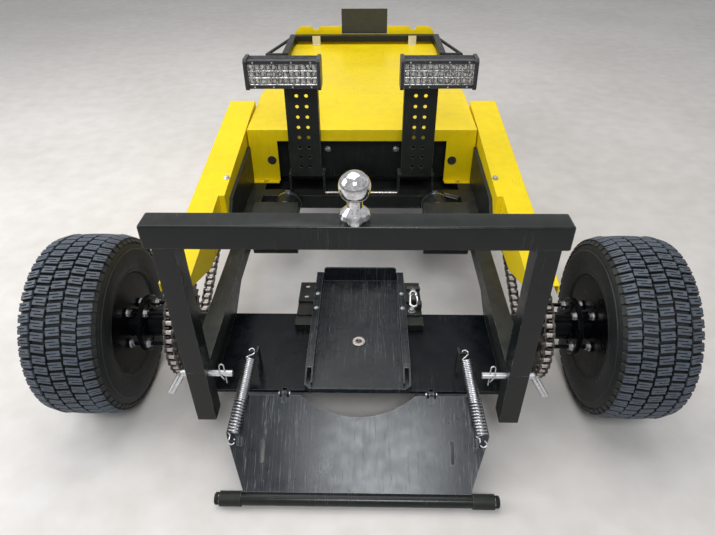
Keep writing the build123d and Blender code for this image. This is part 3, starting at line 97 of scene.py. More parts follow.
joint_place = {joint["name"]: Vector(joint["pos_m"]) for joint in frame["joints"]}
axle = middle("rim_right")
motor_centre = joint_place["sprocket_spin_right"]
hinge = joint_place["ramp_hinge"]
tip = middle("tip_bar")
flap_drop = math.atan2(hinge.z - tip.z, hinge.y - tip.y)
flap_along = Vector((0, -math.cos(flap_drop), -math.sin(flap_drop)))
flap_up = Vector((0, -math.sin(flap_drop), math.cos(flap_drop)))
print("axle", axle, "flap drops", round(math.degrees(flap_drop), 1), "degrees")

# %% [markdown]
# ## The camera
# A likeness starts with the viewpoint, because every proportion is read through it.
# The camera stands in front of the ramp at about chest height and looks down on the tug.
# Its place, turn and lens come from known right angles and lengths of the frame.

# %% Place the camera
CAMERA_PLACE = Vector((0.021, -1.58493, 1.0502))
CAMERA_YAW, CAMERA_PITCH, CAMERA_ROLL = -0.024, 0.634, -0.009
CAMERA_LENS_MM, SENSOR_MM = 27.71, 36


def camera_turn(yaw, pitch, roll):
    """The camera's own axes as a turn: it looks along its -Z, with +Y up."""
    ahead = Vector((math.sin(yaw) * math.cos(pitch), math.cos(yaw) * math.cos(pitch), -math.sin(pitch)))
    right = Vector((math.cos(yaw), -math.sin(yaw), 0))
    level = Matrix((right, right.cross(ahead), -ahead)).transposed()
    return level @ Matrix.Rotation(roll, 3, "Z")


camera_data = bpy.data.cameras.new("photo_view")
camera_data.lens, camera_data.sensor_width = CAMERA_LENS_MM, SENSOR_MM
camera = bpy.data.objects.new("photo_view", camera_data)
turn = camera_turn(CAMERA_YAW, CAMERA_PITCH, CAMERA_ROLL).to_4x4()
camera.matrix_world = Matrix.Translation(CAMERA_PLACE) @ turn
bpy.context.scene.collection.objects.link(camera)
bpy.context.scene.camera = camera
print("camera looks down", round(math.degrees(CAMERA_PITCH), 1), "degrees")

# %% [markdown]
# ## Building shader networks in code
# In the editor a material is drawn as boxes and wires. In code, one helper can add a box and its wires.
# Effects that several finishes share, such as worn edges or dust, go into node groups.
# A group hands out one mask, and the shader itself stays in each material.

# %% Helpers for nodes
def wire(tree, value, socket):
    """Join an output to a socket, or set the socket to a number or a colour."""
    if isinstance(value, bpy.types.NodeSocket):
        tree.links.new(value, socket)
    else:
        socket.default_value = value


def node(tree, kind, inputs=None, **settings):
    """Add a node. Each input is a number, a colour, or the output of another node."""
    made = tree.nodes.new(kind)
    for key, value in settings.items():
        setattr(made, key, value)
    for key, value in (inputs or {}).items():
        wire(tree, value, made.inputs[key])
    return made


def maths(tree, operation, first, second=0.0, clamp=False):
    """One step of arithmetic between two values."""
    return node(tree, "ShaderNodeMath", {0: first, 1: second}, operation=operation, use_clamp=clamp).outputs[0]


def times(tree, first, second, clamp=False):
    """Two values multiplied, as one mask is laid over another."""
    return maths(tree, "MULTIPLY", first, second, clamp)


def remap(tree, value, low, high, to_low=0.0, to_high=1.0):
    """Stretch the part of a value between low and high over a new range."""
    inputs = {"Value": value, "From Min": low, "From Max": high, "To Min": to_low, "To Max": to_high}
    return node(tree, "ShaderNodeMapRange", inputs).outputs[0]


def blend_colour(tree, mask, first, second):
    """Mix two colours by a mask. A Mix node's colours are its inputs 6 and 7 and its output 2."""
    colours = [(*colour, 1) if isinstance(colour, tuple) else colour for colour in (first, second)]
    return node(tree, "ShaderNodeMix", {0: mask, 6: colours[0], 7: colours[1]}, data_type="RGBA").outputs[2]


def noise(tree, scale, detail, roughness=0.5, place=None):
    """Cloudy noise. Read in Object coordinates, it stays with the part as the part moves."""
    if place is None:
        place = node(tree, "ShaderNodeTexCoord").outputs["Object"]
    inputs = {"Vector": place, "Scale": scale, "Detail": detail, "Roughness": roughness}
    return node(tree, "ShaderNodeTexNoise", inputs).outputs[0]


print("helpers:", node.__name__, maths.__name__, remap.__name__, blend_colour.__name__, noise.__name__)

# %% Helpers for groups
def shader_group(name, *labels):
    """Start a node group with named inputs. It comes with its inputs' sockets and its mask's socket."""
    tree = bpy.data.node_groups.new(name, "ShaderNodeTree")
    for label in labels:
        tree.interface.new_socket(label, in_out="INPUT", socket_type="NodeSocketFloat")
    tree.interface.new_socket("Mask", in_out="OUTPUT", socket_type="NodeSocketFloat")
    return tree, tree.nodes.new("NodeGroupInput").outputs, tree.nodes.new("NodeGroupOutput").inputs["Mask"]


def masked(tree, group, **values):
    """The mask of a group that is placed in a material with its own values."""
    return node(tree, "ShaderNodeGroup", values, node_tree=group).outputs[0]


print("group helpers:", shader_group.__name__, masked.__name__)

# %% [markdown]
# ## Mottling
# No painted sheet is one flat colour: handling, polish and thin spots leave cloudy variation.
# Two noises of very different size, added together, give that without a visible repeat.

# %% Group: mottling
mottling, given, mask = shader_group("Mottling", "Scale", "Fine")
both_noises = maths(mottling, "ADD", noise(mottling, given["Scale"], 3.0), noise(mottling, given["Fine"], 5.0))
wire(mottling, remap(mottling, both_noises, 0.75, 1.25), mask)
print(mottling.name, len(mottling.nodes), "nodes")

# %% [markdown]
# ## Worn edges
# Paint rubs off first where two faces meet. The Bevel node gives a normal that is rounded near an edge.
# Where it leans away from the true normal there is an edge, and noise breaks the line into chips.

# %% Group: worn edges
worn_edges, given, mask = shader_group("Worn edges", "Radius", "Amount", "Scale")
rounded = node(worn_edges, "ShaderNodeBevel", {"Radius": given["Radius"]}, samples=4).outputs[0]
true_normal = node(worn_edges, "ShaderNodeNewGeometry").outputs["Normal"]
lean = node(worn_edges, "ShaderNodeVectorMath", {0: rounded, 1: true_normal}, operation="DOT_PRODUCT")
edge = remap(worn_edges, lean.outputs["Value"], 0.995, 0.86)
limit = times(worn_edges, maths(worn_edges, "SUBTRACT", 1.0, given["Amount"]), 0.62)
above_limit = maths(worn_edges, "SUBTRACT", noise(worn_edges, given["Scale"], 6.0, 0.7), limit)
wire(worn_edges, times(worn_edges, edge, remap(worn_edges, above_limit, 0.0, 0.12), clamp=True), mask)
print(worn_edges.name, len(worn_edges.nodes), "nodes")

# %% [markdown]
# ## Scratches
# Shoes, tyres and tools drag fine lines across the deck plates. They are long in one direction.
# A noise squeezed across that direction gives streaks, and a narrow band of its values gives thin lines.

# %% Group: scratches
scratches, given, mask = shader_group("Scratches", "Fineness", "Length", "Amount")
place = node(scratches, "ShaderNodeTexCoord").outputs["Object"]
split = node(scratches, "ShaderNodeSeparateXYZ", {"Vector": place}).outputs
stretch = {"X": given["Fineness"], "Y": given["Length"], "Z": given["Length"]}
squeezed = node(scratches, "ShaderNodeCombineXYZ", {
    axis: times(scratches, split[axis], amount) for axis, amount in stretch.items()})
streaks = noise(scratches, 1.0, 4.0, place=squeezed.outputs[0])
from_line = maths(scratches, "ABSOLUTE", maths(scratches, "SUBTRACT", streaks, 0.52))
lines = remap(scratches, from_line, 0.012, 0.004)
patches = maths(scratches, "ADD", noise(scratches, 7.0, 2.0), times(scratches, given["Amount"], 0.4))
wire(scratches, times(scratches, lines, remap(scratches, patches, 0.55, 0.75), clamp=True), mask)
print(scratches.name, len(scratches.nodes), "nodes")

# %% [markdown]
# ## Dust
# Workshop dust settles on faces that look up. The object-space normal keeps it on the part as it turns.

# %% Group: dust
dust, given, mask = shader_group("Dust", "Amount", "Scale")
normal = node(dust, "ShaderNodeTexCoord").outputs["Normal"]
up_share = node(dust, "ShaderNodeSeparateXYZ", {"Vector": normal}).outputs["Z"]
facing_up = remap(dust, up_share, 0.2, 1.0, 0.15, 1.0)
settled = times(dust, facing_up, remap(dust, noise(dust, given["Scale"], 6.0, 0.65), 0.35, 0.75))
wire(dust, times(dust, settled, given["Amount"], clamp=True), mask)
print("shared effects:", [group.name for group in bpy.data.node_groups])

# %% [markdown]
# ## What every finish shares
# Paint, metal and rubber differ in their numbers more than in their build. Each starts from a cloudy colour,
# and each has a fine grain that bends its normal. Two helpers give both, so a finish says only what is its own.

# %% Base coat and grain
DUST_COLOUR, OIL_COLOUR = (0.42, 0.38, 0.33), (0.06, 0.05, 0.04)


def base_coat(name, colour, deep, scale, fine):
    """A new material with its tree, its shader's sockets, its clouds, and the colour that they give."""
    material = bpy.data.materials.new(name)
    material.use_nodes = True
    tree = material.node_tree
    clouds = masked(tree, mottling, Scale=scale, Fine=fine)
    return material, tree, tree.nodes["Principled BSDF"].inputs, clouds, blend_colour(tree, clouds, deep, colour)


def dirty(tree, base, amount, scale, dirt=DUST_COLOUR):
    """A colour under dirt, and the mask of the dirt."""
    grime = masked(tree, dust, Amount=amount, Scale=scale)
    return blend_colour(tree, grime, base, dirt), grime


def grain(tree, shader, height, strength, distance=0.6 * mm):
    """Bend the shader's normal by a height."""
    inputs = {"Height": height, "Strength": strength, "Distance": distance}
    wire(tree, node(tree, "ShaderNodeBump", inputs).outputs[0], shader["Normal"])


print("dust", DUST_COLOUR, "oil", OIL_COLOUR)

# %% [markdown]
# ## Paint
# Most of the tug is sheet and tube with a sprayed or baked coat. One function makes every such finish:
# cloudy colour, worn edges that show primer or steel, drag marks, dust and a faint orange-peel bump.
# A table then states the colours of each finish and how much of each effect it has.

# %% Paint maker
def paint(name, colour, deep, worn, rough, wear, scratched, dusty, shine, coat):
    """A painted finish: its colour, the darker cloud in it and what shows where it wears."""
    material, tree, shader, clouds, base = base_coat(name, colour, deep, 5.0, 45.0)
    lines = masked(tree, scratches, Fineness=170.0, Length=4.0, Amount=scratched)
    base = blend_colour(tree, times(tree, lines, 0.5), base, worn)
    chips = masked(tree, worn_edges, Radius=2.2 * mm, Amount=wear, Scale=70.0)
    base, grime = dirty(tree, blend_colour(tree, chips, base, worn), dusty, 24.0)
    wire(tree, base, shader["Base Color"])
    gloss = remap(tree, clouds, 0.0, 1.0, rough * 0.8, rough * 1.25)
    gloss = maths(tree, "ADD", gloss, times(tree, grime, 0.5))
    wire(tree, maths(tree, "ADD", gloss, times(tree, lines, 0.2), clamp=True), shader["Roughness"])
    orange_peel = noise(tree, 220.0, 2.0)
    grain(tree, shader, maths(tree, "SUBTRACT", orange_peel, times(tree, chips, 0.6)), 0.12)
    shader["Specular IOR Level"].default_value = shine
    shader["Coat Weight"].default_value = coat
    shader["Coat Roughness"].default_value = 0.12
    return material


print("a painted finish is made by", paint.__name__)

# %% Paint finishes
PAINTS = {
    # name, colour, darker cloud, colour where it wears, then roughness, wear, scratches, dust, shine and coat
    "yellow_paint": ("Machine yellow", (0.94, 0.71, 0.004), (0.86, 0.63, 0.002), (0.34, 0.27, 0.08),
                     0.36, 0.36, 0.08, 0.01, 0.24, 0.05),
    "black_paint": ("Satin frame black", (0.013, 0.016, 0.014), (0.008, 0.010, 0.009), (0.13, 0.13, 0.13),
                    0.40, 0.28, 0.06, 0.05, 0.26, 0.0),
    "black_sheet": ("Deck black", (0.009, 0.013, 0.018), (0.005, 0.008, 0.011), (0.16, 0.17, 0.18),
                    0.26, 0.42, 0.45, 0.05, 0.34, 0.0),
    "rim_black": ("Wheel black", (0.0020, 0.0024, 0.0034), (0.0012, 0.0014, 0.002), (0.05, 0.05, 0.05),
                  0.30, 0.20, 0.02, 0.0, 0.10, 0.0),
    "lamp_black": ("Lamp grey black", (0.030, 0.031, 0.037), (0.020, 0.021, 0.026), (0.20, 0.20, 0.21),
                   0.40, 0.30, 0.03, 0.08, 0.40, 0.0),
    "deck_black": ("Dark deck", (0.004, 0.006, 0.009), (0.002, 0.004, 0.006), (0.10, 0.11, 0.12),
                   0.30, 0.40, 0.12, 0.02, 0.14, 0.0),
    "ramp_black": ("Scuffed ramp", (0.008, 0.012, 0.017), (0.004, 0.007, 0.011), (0.24, 0.26, 0.28),
                   0.22, 0.55, 0.85, 0.03, 0.36, 0.0),
    "tube_black": ("Glossy tube", (0.007, 0.010, 0.009), (0.004, 0.006, 0.006), (0.13, 0.13, 0.13),
                   0.22, 0.22, 0.05, 0.02, 0.32, 0.0),
}
finish = {key: paint(*row) for key, row in PAINTS.items()}
print("paints:", sorted(finish))

# %% [markdown]
# ## Bare and plated metal
# Zinc plating is bright with faint cloudy spangle, the ball is chromed, and the chain is oiled steel.
# All are metals, so the look comes from how rough they are and what they mirror. The reflector foil's near-black cloud
# is painted reflection.

# %% Metal maker and finishes
def metal(name, colour, deep, rough, oily, tooling, depth, scale, fine):
    """A metal whose cloudiness changes both its tint and its roughness."""
    material, tree, shader, clouds, base = base_coat(name, colour, deep, scale, fine)
    wire(tree, dirty(tree, base, oily, 60.0, OIL_COLOUR)[0], shader["Base Color"])
    wire(tree, remap(tree, clouds, 0.0, 1.0, rough * 1.4, rough * 0.8), shader["Roughness"])
    shader["Metallic"].default_value = 1.0
    grain(tree, shader, noise(tree, tooling, 3.0), depth, 0.4 * mm)
    return material


METALS = {
    # name, colour, darker cloud, roughness, oil, scale and depth of the tooling marks, scales of broad and fine clouds
    "zinc": ("Zinc plate", (0.74, 0.75, 0.77), (0.50, 0.51, 0.54), 0.28, 0.2, 400.0, 0.06, 30.0, 220.0),
    "chrome": ("Polished chrome", (0.80, 0.80, 0.81), (0.42, 0.42, 0.43), 0.06, 0.05, 180.0, 0.10, 60.0, 240.0),
    "chain_steel": ("Oiled chain steel", (0.15, 0.14, 0.13), (0.05, 0.045, 0.04), 0.36, 0.5, 400.0, 0.06, 30.0, 220.0),
    "roller_steel": ("Worn rollers", (0.62, 0.56, 0.54), (0.34, 0.30, 0.28), 0.30, 0.3, 400.0, 0.06, 30.0, 220.0),
    # Reflector foil: its near-black darker cloud is painted reflection, dark speckle that stands in for what the cups
    # mirror.
    "lamp_mirror": ("Reflector foil", (0.80, 0.81, 0.82), (0.07, 0.07, 0.08), 0.12, 0.0, 260.0, 0.9, 150.0, 420.0),
}
finish.update({key: metal(*row) for key, row in METALS.items()})
print("metals:", sorted(METALS))

# %% [markdown]
# ## Rubber and plastic
# Casters, plugs and cases are matte: rubber or moulded plastic with a fine grain and a little dust.
# The same steps as for metal make them, without the metal's mirror.

# %% Rubber and plastic finishes
def matte(name, colour, deep, rough, dusty):
    """A matte rubber or moulded plastic."""
    material, tree, shader, clouds, base = base_coat(name, colour, deep, 12.0, 90.0)
    wire(tree, dirty(tree, base, dusty, 40.0)[0], shader["Base Color"])
    wire(tree, remap(tree, clouds, 0.0, 1.0, rough, rough + 0.12), shader["Roughness"])
    grain(tree, shader, noise(tree, 300.0, 4.0), 0.2)
    return material


MATTES = {
    # name, colour, darker cloud, roughness, dust
    "rubber": ("Black rubber", (0.022, 0.022, 0.023), (0.014, 0.014, 0.015), 0.55, 0.15),
    "battery_case": ("Battery case", (0.055, 0.055, 0.060), (0.040, 0.040, 0.044), 0.5, 0.3),
    "box_plastic": ("Control box plastic", (0.030, 0.034, 0.032), (0.020, 0.022, 0.021), 0.42, 0.12),
    "cream_plastic": ("Cream catch", (0.72, 0.66, 0.47), (0.60, 0.54, 0.37), 0.40, 0.08),
}
finish.update({key: matte(*row) for key, row in MATTES.items()})
print("mattes:", sorted(MATTES))

# %% [markdown]
# ## Tyre rubber
# The tread's crown carries a bluish-grey bloom, and the grooves between its blocks are painted nearly black as shade.
# The bloom and the painted groove shade follow how far a point is from the axle, which Object coordinates give
# directly.

# %% Tyre finish
TYRE_RADIUS = (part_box("tyre_right")[1].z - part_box("tyre_right")[0].z) / 2
CROWN_FALL = 1.1
BLOOM_DEEP, BLOOM_TOP = 3.0 * mm, 0.6 * mm
BLOOM_COLOUR = (0.090, 0.109, 0.137)


def tyre_rubber(name):
    """Tyre rubber, bluish and dusty on the faces of its blocks, with painted shade that makes the grooves nearly black.
    """
    material, tree, shader, clouds, base = base_coat(
        name, (0.015, 0.017, 0.018), (0.009, 0.010, 0.011), 14.0, 120.0)
    place = node(tree, "ShaderNodeTexCoord").outputs["Object"]
    split = node(tree, "ShaderNodeSeparateXYZ", {"Vector": place}).outputs
    off_middle = maths(tree, "SUBTRACT", maths(tree, "ABSOLUTE", split["X"]), axle.x)
    ahead = maths(tree, "SUBTRACT", split["Y"], axle.y)
    above = maths(tree, "SUBTRACT", split["Z"], axle.z)
    radius = maths(tree, "SQRT", maths(tree, "ADD", times(tree, ahead, ahead), times(tree, above, above)))
    level = maths(tree, "ADD", radius, times(tree, times(tree, off_middle, off_middle), CROWN_FALL))
    # Deeper than BLOOM_DEEP below the crown, the grooves keep the near-black base: painted shade.
    crown_over_groove_shade = remap(tree, level, TYRE_RADIUS - BLOOM_DEEP, TYRE_RADIUS - BLOOM_TOP)
    bloom_and_groove_shade = times(tree, crown_over_groove_shade, remap(tree, clouds, 0.0, 1.0, 0.65, 1.0))
    base = blend_colour(tree, bloom_and_groove_shade, base, BLOOM_COLOUR)
    wire(tree, dirty(tree, base, 0.10, 55.0)[0], shader["Base Color"])
    wire(tree, remap(tree, clouds, 0.0, 1.0, 0.46, 0.62), shader["Roughness"])
    shader["Specular IOR Level"].default_value = 0.35
    grain(tree, shader, noise(tree, 500.0, 4.0), 0.25)
    return material


finish["tyre_rubber"] = tyre_rubber("Turf tyre rubber")
print("finishes:", len(finish), "tyre radius", round(TYRE_RADIUS, 3))

# %% [markdown]
# ## Which finish goes where
# The record lists the finishes by slot name. A short table says which nodes carry which slot.

# %% Give every node its finish
WEARS = {
    "yellow_paint": "fender_left fender_right hood_front hood_rear rear_panel",
    "black_paint": "rails side_plates socket_posts gantry_uprights gantry_bar motor_plates lamp_posts cross_tube "
                   "caster_beam rear_guard guard_loops bulkhead spring_brackets strap_wings floor_plate spindles "
                   "gear_motors tip_bar tip_sleeves",
    "black_sheet": "deck cradle_pan ramp_flap",
    "rim_black": "rim_left rim_right hub_left hub_right",
    "tyre_rubber": "tyre_left tyre_right",
    "chain_steel": "chain_left chain_right wheel_sprocket_left wheel_sprocket_right motor_sprocket_left "
                   "motor_sprocket_right",
    "zinc": "hitch_pins springs hinge_pins turn_bolt tie_rod caster_plates caster_fork_left caster_fork_right",
    "chrome": "tow_ball",
    "lamp_black": "lamps",
    "lamp_mirror": "reflectors",
    "rubber": "hood_plugs caster_wheel_left caster_wheel_right",
    "battery_case": "battery",
    "box_plastic": "control_box",
    "cream_plastic": "hood_catches",
}
OWN_LOOKS = {"deck": "deck_black", "ramp_flap": "ramp_black", "gantry_bar": "tube_black",
             "gantry_uprights": "tube_black", "tip_bar": "tube_black", "turn_bolt": "chain_steel",
             "tie_rod": "roller_steel"}
slot_of = {name: slot for slot, names in WEARS.items() for name in names.split()}


def dress(piece, slot, look=None):
    """Give a piece its slot's finish, or its own look."""
    piece.data.materials.clear()
    piece.data.materials.append(finish[look or slot])


for name, cad_node in frame["nodes"].items():
    dress(cad_node, slot_of[name], OWN_LOOKS.get(name))
print("dressed", len(slot_of), "nodes")

# %% [markdown]
# ## Shaping new pieces
# New pieces start as a bmesh, Blender's editable mesh in memory. Operators shape it as tools do in the editor.
# These helpers place rods, boxes and hex heads between points, and turn a finished bmesh into a piece.

# %% From a bmesh to a piece
SHARP = math.radians(22)
ALL_SHARP, ALL_SMOOTH = 0, math.pi


def finish_piece(name, bm, slot, body=None, stands_for=(), sharp=SHARP, look=None):
    """Turn a bmesh into a named piece with its finish, riding on a body."""
    mesh = bpy.data.meshes.new(name)
    bm.to_mesh(mesh)
    bm.free()
    mesh.shade_smooth()
    mesh.set_sharp_from_angle(angle=sharp)
    piece = bpy.data.objects.new(name, mesh)
    bpy.context.scene.collection.objects.link(piece)
    dress(piece, slot, look)
    if body:
        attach(piece, body)
    if stands_for:
        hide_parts(*stands_for)
    return piece


def soften(piece, width, harden=True):
    """Round a piece's sharp edges with a Bevel modifier."""
    bevel = piece.modifiers.new("Soft edges", "BEVEL")
    bevel.width, bevel.segments = width, 2
    bevel.limit_method, bevel.angle_limit = "ANGLE", SHARP
    bevel.harden_normals = harden
    return piece


print("edges over", round(math.degrees(SHARP)), "degrees stay sharp")

# %% Rods, boxes, hex heads and turned rings
def rod(bm, start, end, radius, end_radius=None, segments=24):
    """A round bar or cone between two points."""
    start, end = Vector(start), Vector(end)
    along = end - start
    place = Matrix.Translation((start + end) / 2) @ along.to_track_quat("Z", "Y").to_matrix().to_4x4()
    tip_radius = radius if end_radius is None else end_radius
    bmesh.ops.create_cone(bm, cap_ends=True, segments=segments, radius1=radius, radius2=tip_radius,
                          depth=along.length, matrix=place)


def cross_rod(bm, spot, x0, x1, radius, end_radius=None, segments=24):
    """A rod across the tug through a spot, from one x to another."""
    rod(bm, (x0, spot.y, spot.z), (x1, spot.y, spot.z), radius, end_radius, segments)


def brick(bm, centre, size, place=Matrix.Identity(4)):
    """A box round a centre, in the axes of a place."""
    matrix = place @ Matrix.Translation(centre) @ Matrix.Diagonal((*size, 1))
    return bmesh.ops.create_cube(bm, size=1, matrix=matrix)["verts"]


def round_brick(bm, centre, size, width, segments=2, place=Matrix.Identity(4)):
    """A box with every edge rounded."""
    edges = {edge for vert in brick(bm, centre, size, place) for edge in vert.link_edges}
    bmesh.ops.bevel(bm, geom=list(edges), offset=width, segments=segments, profile=0.5, affect="EDGES",
                    material=-1, clamp_overlap=True)


def hex_head(bm, seat, axis, across, height, washer=True):
    """A hex head on a washer, standing on its seat along an axis."""
    seat, axis = Vector(seat), Vector(axis).normalized()
    if washer:
        rod(bm, seat, seat + axis * across * 0.1, across * 0.72)
        seat = seat + axis * across * 0.1
    top, corner = seat + axis * height, across / math.sqrt(3)
    rod(bm, seat, top - axis * height * 0.15, corner, segments=6)
    rod(bm, top - axis * height * 0.15, top, corner, across * 0.45, segments=6)


def turned_ring(bm, section, centre, axis, steps):
    """Turn a closed section once round an axis, as a lathe does."""
    verts = [bm.verts.new(point) for point in section]
    edges = [bm.edges.new(pair) for pair in zip(verts, verts[1:] + verts[:1])]
    older = set(bm.faces)
    bmesh.ops.spin(bm, geom=verts + edges, cent=centre, axis=axis, angle=FULL_TURN, steps=steps, use_merge=True)
    bmesh.ops.recalc_face_normals(bm, faces=[face for face in bm.faces if face not in older])


print("shapes:", rod.__name__, brick.__name__, round_brick.__name__, hex_head.__name__, turned_ring.__name__)

# %% [markdown]
# ## Soft edges on the frame
# A model straight from measured drawings has razor edges, which catch no light.
# Real tube and sheet have rounded corners. A copy of each node is merged, its flat faces joined, and bevelled.
# Only curved faces are shaded smooth, so that a large flat sheet keeps one even tone.
# The copy stands for the node, which stays behind as the shape that the tug collides with.

# %% Round the edges of tube and sheet
SAME_PLACE, SAME_PLANE, ALMOST_FLAT = 0.001 * mm, math.radians(0.5), math.radians(0.6)


def softened(name, width):
    """A copy of a node with rounded edges, standing for it."""
    source = frame["nodes"][name]
    bm = bmesh.new()
    bm.from_mesh(source.data)
    bmesh.ops.remove_doubles(bm, verts=bm.verts, dist=SAME_PLACE)
    bmesh.ops.dissolve_limit(bm, angle_limit=SAME_PLANE, verts=bm.verts, edges=bm.edges)
    curved = [any(ALMOST_FLAT < edge.calc_face_angle(0) < SHARP for edge in face.edges) for face in bm.faces]
    piece = finish_piece(name + "_soft", bm, slot_of[name], source["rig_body"], (name,), look=OWN_LOOKS.get(name))
    piece.data.polygons.foreach_set("use_smooth", curved)
    soften(piece, width, harden=False)


EDGE_ROUND_MM = {
    "rails": 3.0, "socket_posts": 2.5, "gantry_uprights": 3.0, "gantry_bar": 3.5, "motor_plates": 1.0,
    "cross_tube": 2.5, "caster_beam": 2.5, "rear_guard": 2.5, "deck": 1.0, "cradle_pan": 0.8, "ramp_flap": 0.8,
    "fender_left": 0.8, "fender_right": 0.8, "hood_front": 1.2, "hood_rear": 1.4, "rear_panel": 1.2,
    "gear_motors": 1.5, "lamp_posts": 0.6, "strap_wings": 0.8, "spring_brackets": 0.8, "hood_catches": 0.5,
    "battery": 4.0, "floor_plate": 0.8, "caster_plates": 1.0, "bulkhead": 0.5, "side_plates": 1.0,
    "caster_fork_left": 1.0, "caster_fork_right": 1.0,
}
for name, width in EDGE_ROUND_MM.items():
    softened(name, width * mm)
print("softened", len(EDGE_ROUND_MM), "nodes")

# %% [markdown]
# ## Turf tyres
# A turf tyre is wide and soft, with five rows of small blocks. The carcass is a section spun round the axle.
# The blocks are modelled for one pitch only and then spun in copies, as a mould maker cuts one segment.
# Two cuts enter each block from opposite sides, so its face reads as a folded ribbon with dark lines.

# %% Tread blocks of one pitch
TYRE_PITCHES = 54
PITCH_ANGLE = FULL_TURN / TYRE_PITCHES
BLOCK_DEEP, BLOCK_LONG, BASE_SUNK = 8 * mm, 16.4 * mm, 2 * mm
CUT_WIDE, CUT_DEEP, CUT_STOP = 1.9 * mm, 3.4 * mm, 7 * mm
LUG_OFFSET, LUG_RADIUS, LUG_LEAN = 73.5 * mm, 190.5 * mm, math.radians(50)
LUG_SIZE = (15 * mm, 15.5 * mm, 8 * mm)
TREAD_COLUMNS = (
    # offset mm, width mm, shift along the tread in pitches, skew and extra lean in degrees
    (0, 27, 0.0, 5, 0), (31.5, 27, 0.46, -5, 0), (-31.5, 27, 0.54, -5, 0), (61, 25, 0.02, 5, 9), (-61, 25, 0.08, 5, -9),
)


def tread_place(centre, shift, offset, radius, lean):
    """Axes that stand on the tread: shifted round it, set off sideways and leant over."""
    around = Matrix.Translation(centre) @ Matrix.Rotation(-shift * PITCH_ANGLE, 4, "X")
    return around @ Matrix.Translation((offset, 0, radius)) @ Matrix.Rotation(lean, 4, "Y")


def tread_block(bm, centre, offset, wide, shift, skew, lean):
    """One block: a base, three bars on it, and short ties that join the bars at alternate ends."""
    crowned = TYRE_RADIUS - CROWN_FALL * offset * offset
    lean = math.atan(2 * CROWN_FALL * offset) + math.radians(lean)
    place = tread_place(centre, shift, offset, crowned, lean) @ Matrix.Rotation(math.radians(skew), 4, "Z")
    step = (BLOCK_LONG + CUT_WIDE) / 3
    for index in (-1, 0, 1):
        size = (wide, step - CUT_WIDE, CUT_DEEP)
        round_brick(bm, (0, index * step, -CUT_DEEP / 2), size, 0.6 * mm, 1, place)
    for index in (-0.5, 0.5):
        centre_of_tie = (index * (wide - CUT_STOP), index * step, -CUT_DEEP / 2 - 0.1 * mm)
        brick(bm, centre_of_tie, (CUT_STOP, CUT_WIDE * 1.6, CUT_DEEP - 0.2 * mm), place)
    base_tall = BLOCK_DEEP - CUT_DEEP + BASE_SUNK
    brick(bm, (0, 0, -CUT_DEEP - base_tall / 2), (wide, BLOCK_LONG, base_tall), place)


def edge_lug(bm, centre, side, shift):
    """A plain lug that wraps over the tyre's edge."""
    place = tread_place(centre, shift, side * LUG_OFFSET, LUG_RADIUS, side * LUG_LEAN)
    round_brick(bm, (0, 0, -LUG_SIZE[2] / 2), LUG_SIZE, 1.2 * mm, 1, place)


print("tread", len(TREAD_COLUMNS), "rows of", TYRE_PITCHES, "blocks")

# %% Copies all round, and the carcass
CARCASS = (
    # share of the half width, radius in mm
    (0.84, 104), (0.88, 115), (0.93, 118), (0.95, 121), (0.955, 123.5), (0.945, 125), (0.96, 129), (0.985, 138),
    (1.0, 152), (0.99, 166), (0.985, 169), (0.965, 171), (0.955, 176), (0.90, 184), (0.80, 190), (0.4, 193.8),
    (0.0, 195),
)
tyre_half = (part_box("tyre_right")[1].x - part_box("tyre_right")[0].x) / 2
for side, sign in SIDES:
    centre = Vector((sign * axle.x, axle.y, axle.z))
    bm = bmesh.new()
    for offset, wide, shift, skew, lean in TREAD_COLUMNS:
        tread_block(bm, centre, offset * mm, wide * mm, shift, skew, lean)
    for edge_side, shift in ((1, 0.02), (-1, 0.08)):
        edge_lug(bm, centre, edge_side, shift)
    bmesh.ops.spin(bm, geom=bm.verts[:] + bm.edges[:] + bm.faces[:], cent=centre, axis=RIGHT,
                   angle=FULL_TURN * (TYRE_PITCHES - 1) / TYRE_PITCHES, steps=TYRE_PITCHES - 1, use_merge=False,
                   use_duplicate=True)
    half = [(share * tyre_half, radius * mm) for share, radius in CARCASS]
    whole = half + [(-offset, radius) for offset, radius in reversed(half[:-1])]
    turned_ring(bm, [centre + Vector((offset, 0, radius)) for offset, radius in whole], centre, RIGHT,
                2 * TYRE_PITCHES)
    tyre = finish_piece("turf_tyre_" + side, bm, "tyre_rubber", "wheel_" + side, ("tyre_" + side,))
    print(tyre.name, len(tyre.data.polygons), "faces")

# %% [markdown]
# ## Hubs
# The hub is a turned steel barrel, painted black, with two rings of zinc-plated bolts.
# The barrel is a spun section, and the nuts are hex heads seated on its flanges.

# %% Hub bodies, studs and nuts
STUDS, STUD_PHASE, STUD_CIRCLE, STUD_RADIUS = 4, math.radians(25), 50.8 * mm, 4.5 * mm
BOSS_CIRCLE, BOSS_RADIUS, COLLAR_RADIUS = 46 * mm, 10 * mm, 11 * mm
NUT_ACROSS, NUT_HIGH = 14 * mm, 8 * mm
hub_back, hub_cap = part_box("wheel_sprocket_right")[1].x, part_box("hub_right")[1].x
rim_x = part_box("rim_right")[0].x
flange_face = rim_x - 30 * mm
flange_back = flange_face - 12 * mm
HUB_SECTION = (
    # distance from the middle plane, mm beyond it, radius mm
    (hub_back, -1, 12.8), (hub_back, -1, 28), (hub_back, 2, 30), (flange_back, -2, 31), (flange_back, 0, 34),
    (flange_back, 0, 62), (flange_back, 2, 64), (flange_face, -2, 64), (flange_face, 0, 62), (flange_face, 0, 36),
    (flange_face, 4, 31), (rim_x, 0, 30), (rim_x, 4, 30), (rim_x, 6, 24), (hub_cap, -3, 24), (hub_cap, 0, 20),
    (hub_cap, 0, 12.8),
)


def on_circle(centre, radius, angle):
    """A point on a circle round a line that runs across the tug."""
    return centre + Vector((0, math.cos(angle), math.sin(angle))) * radius


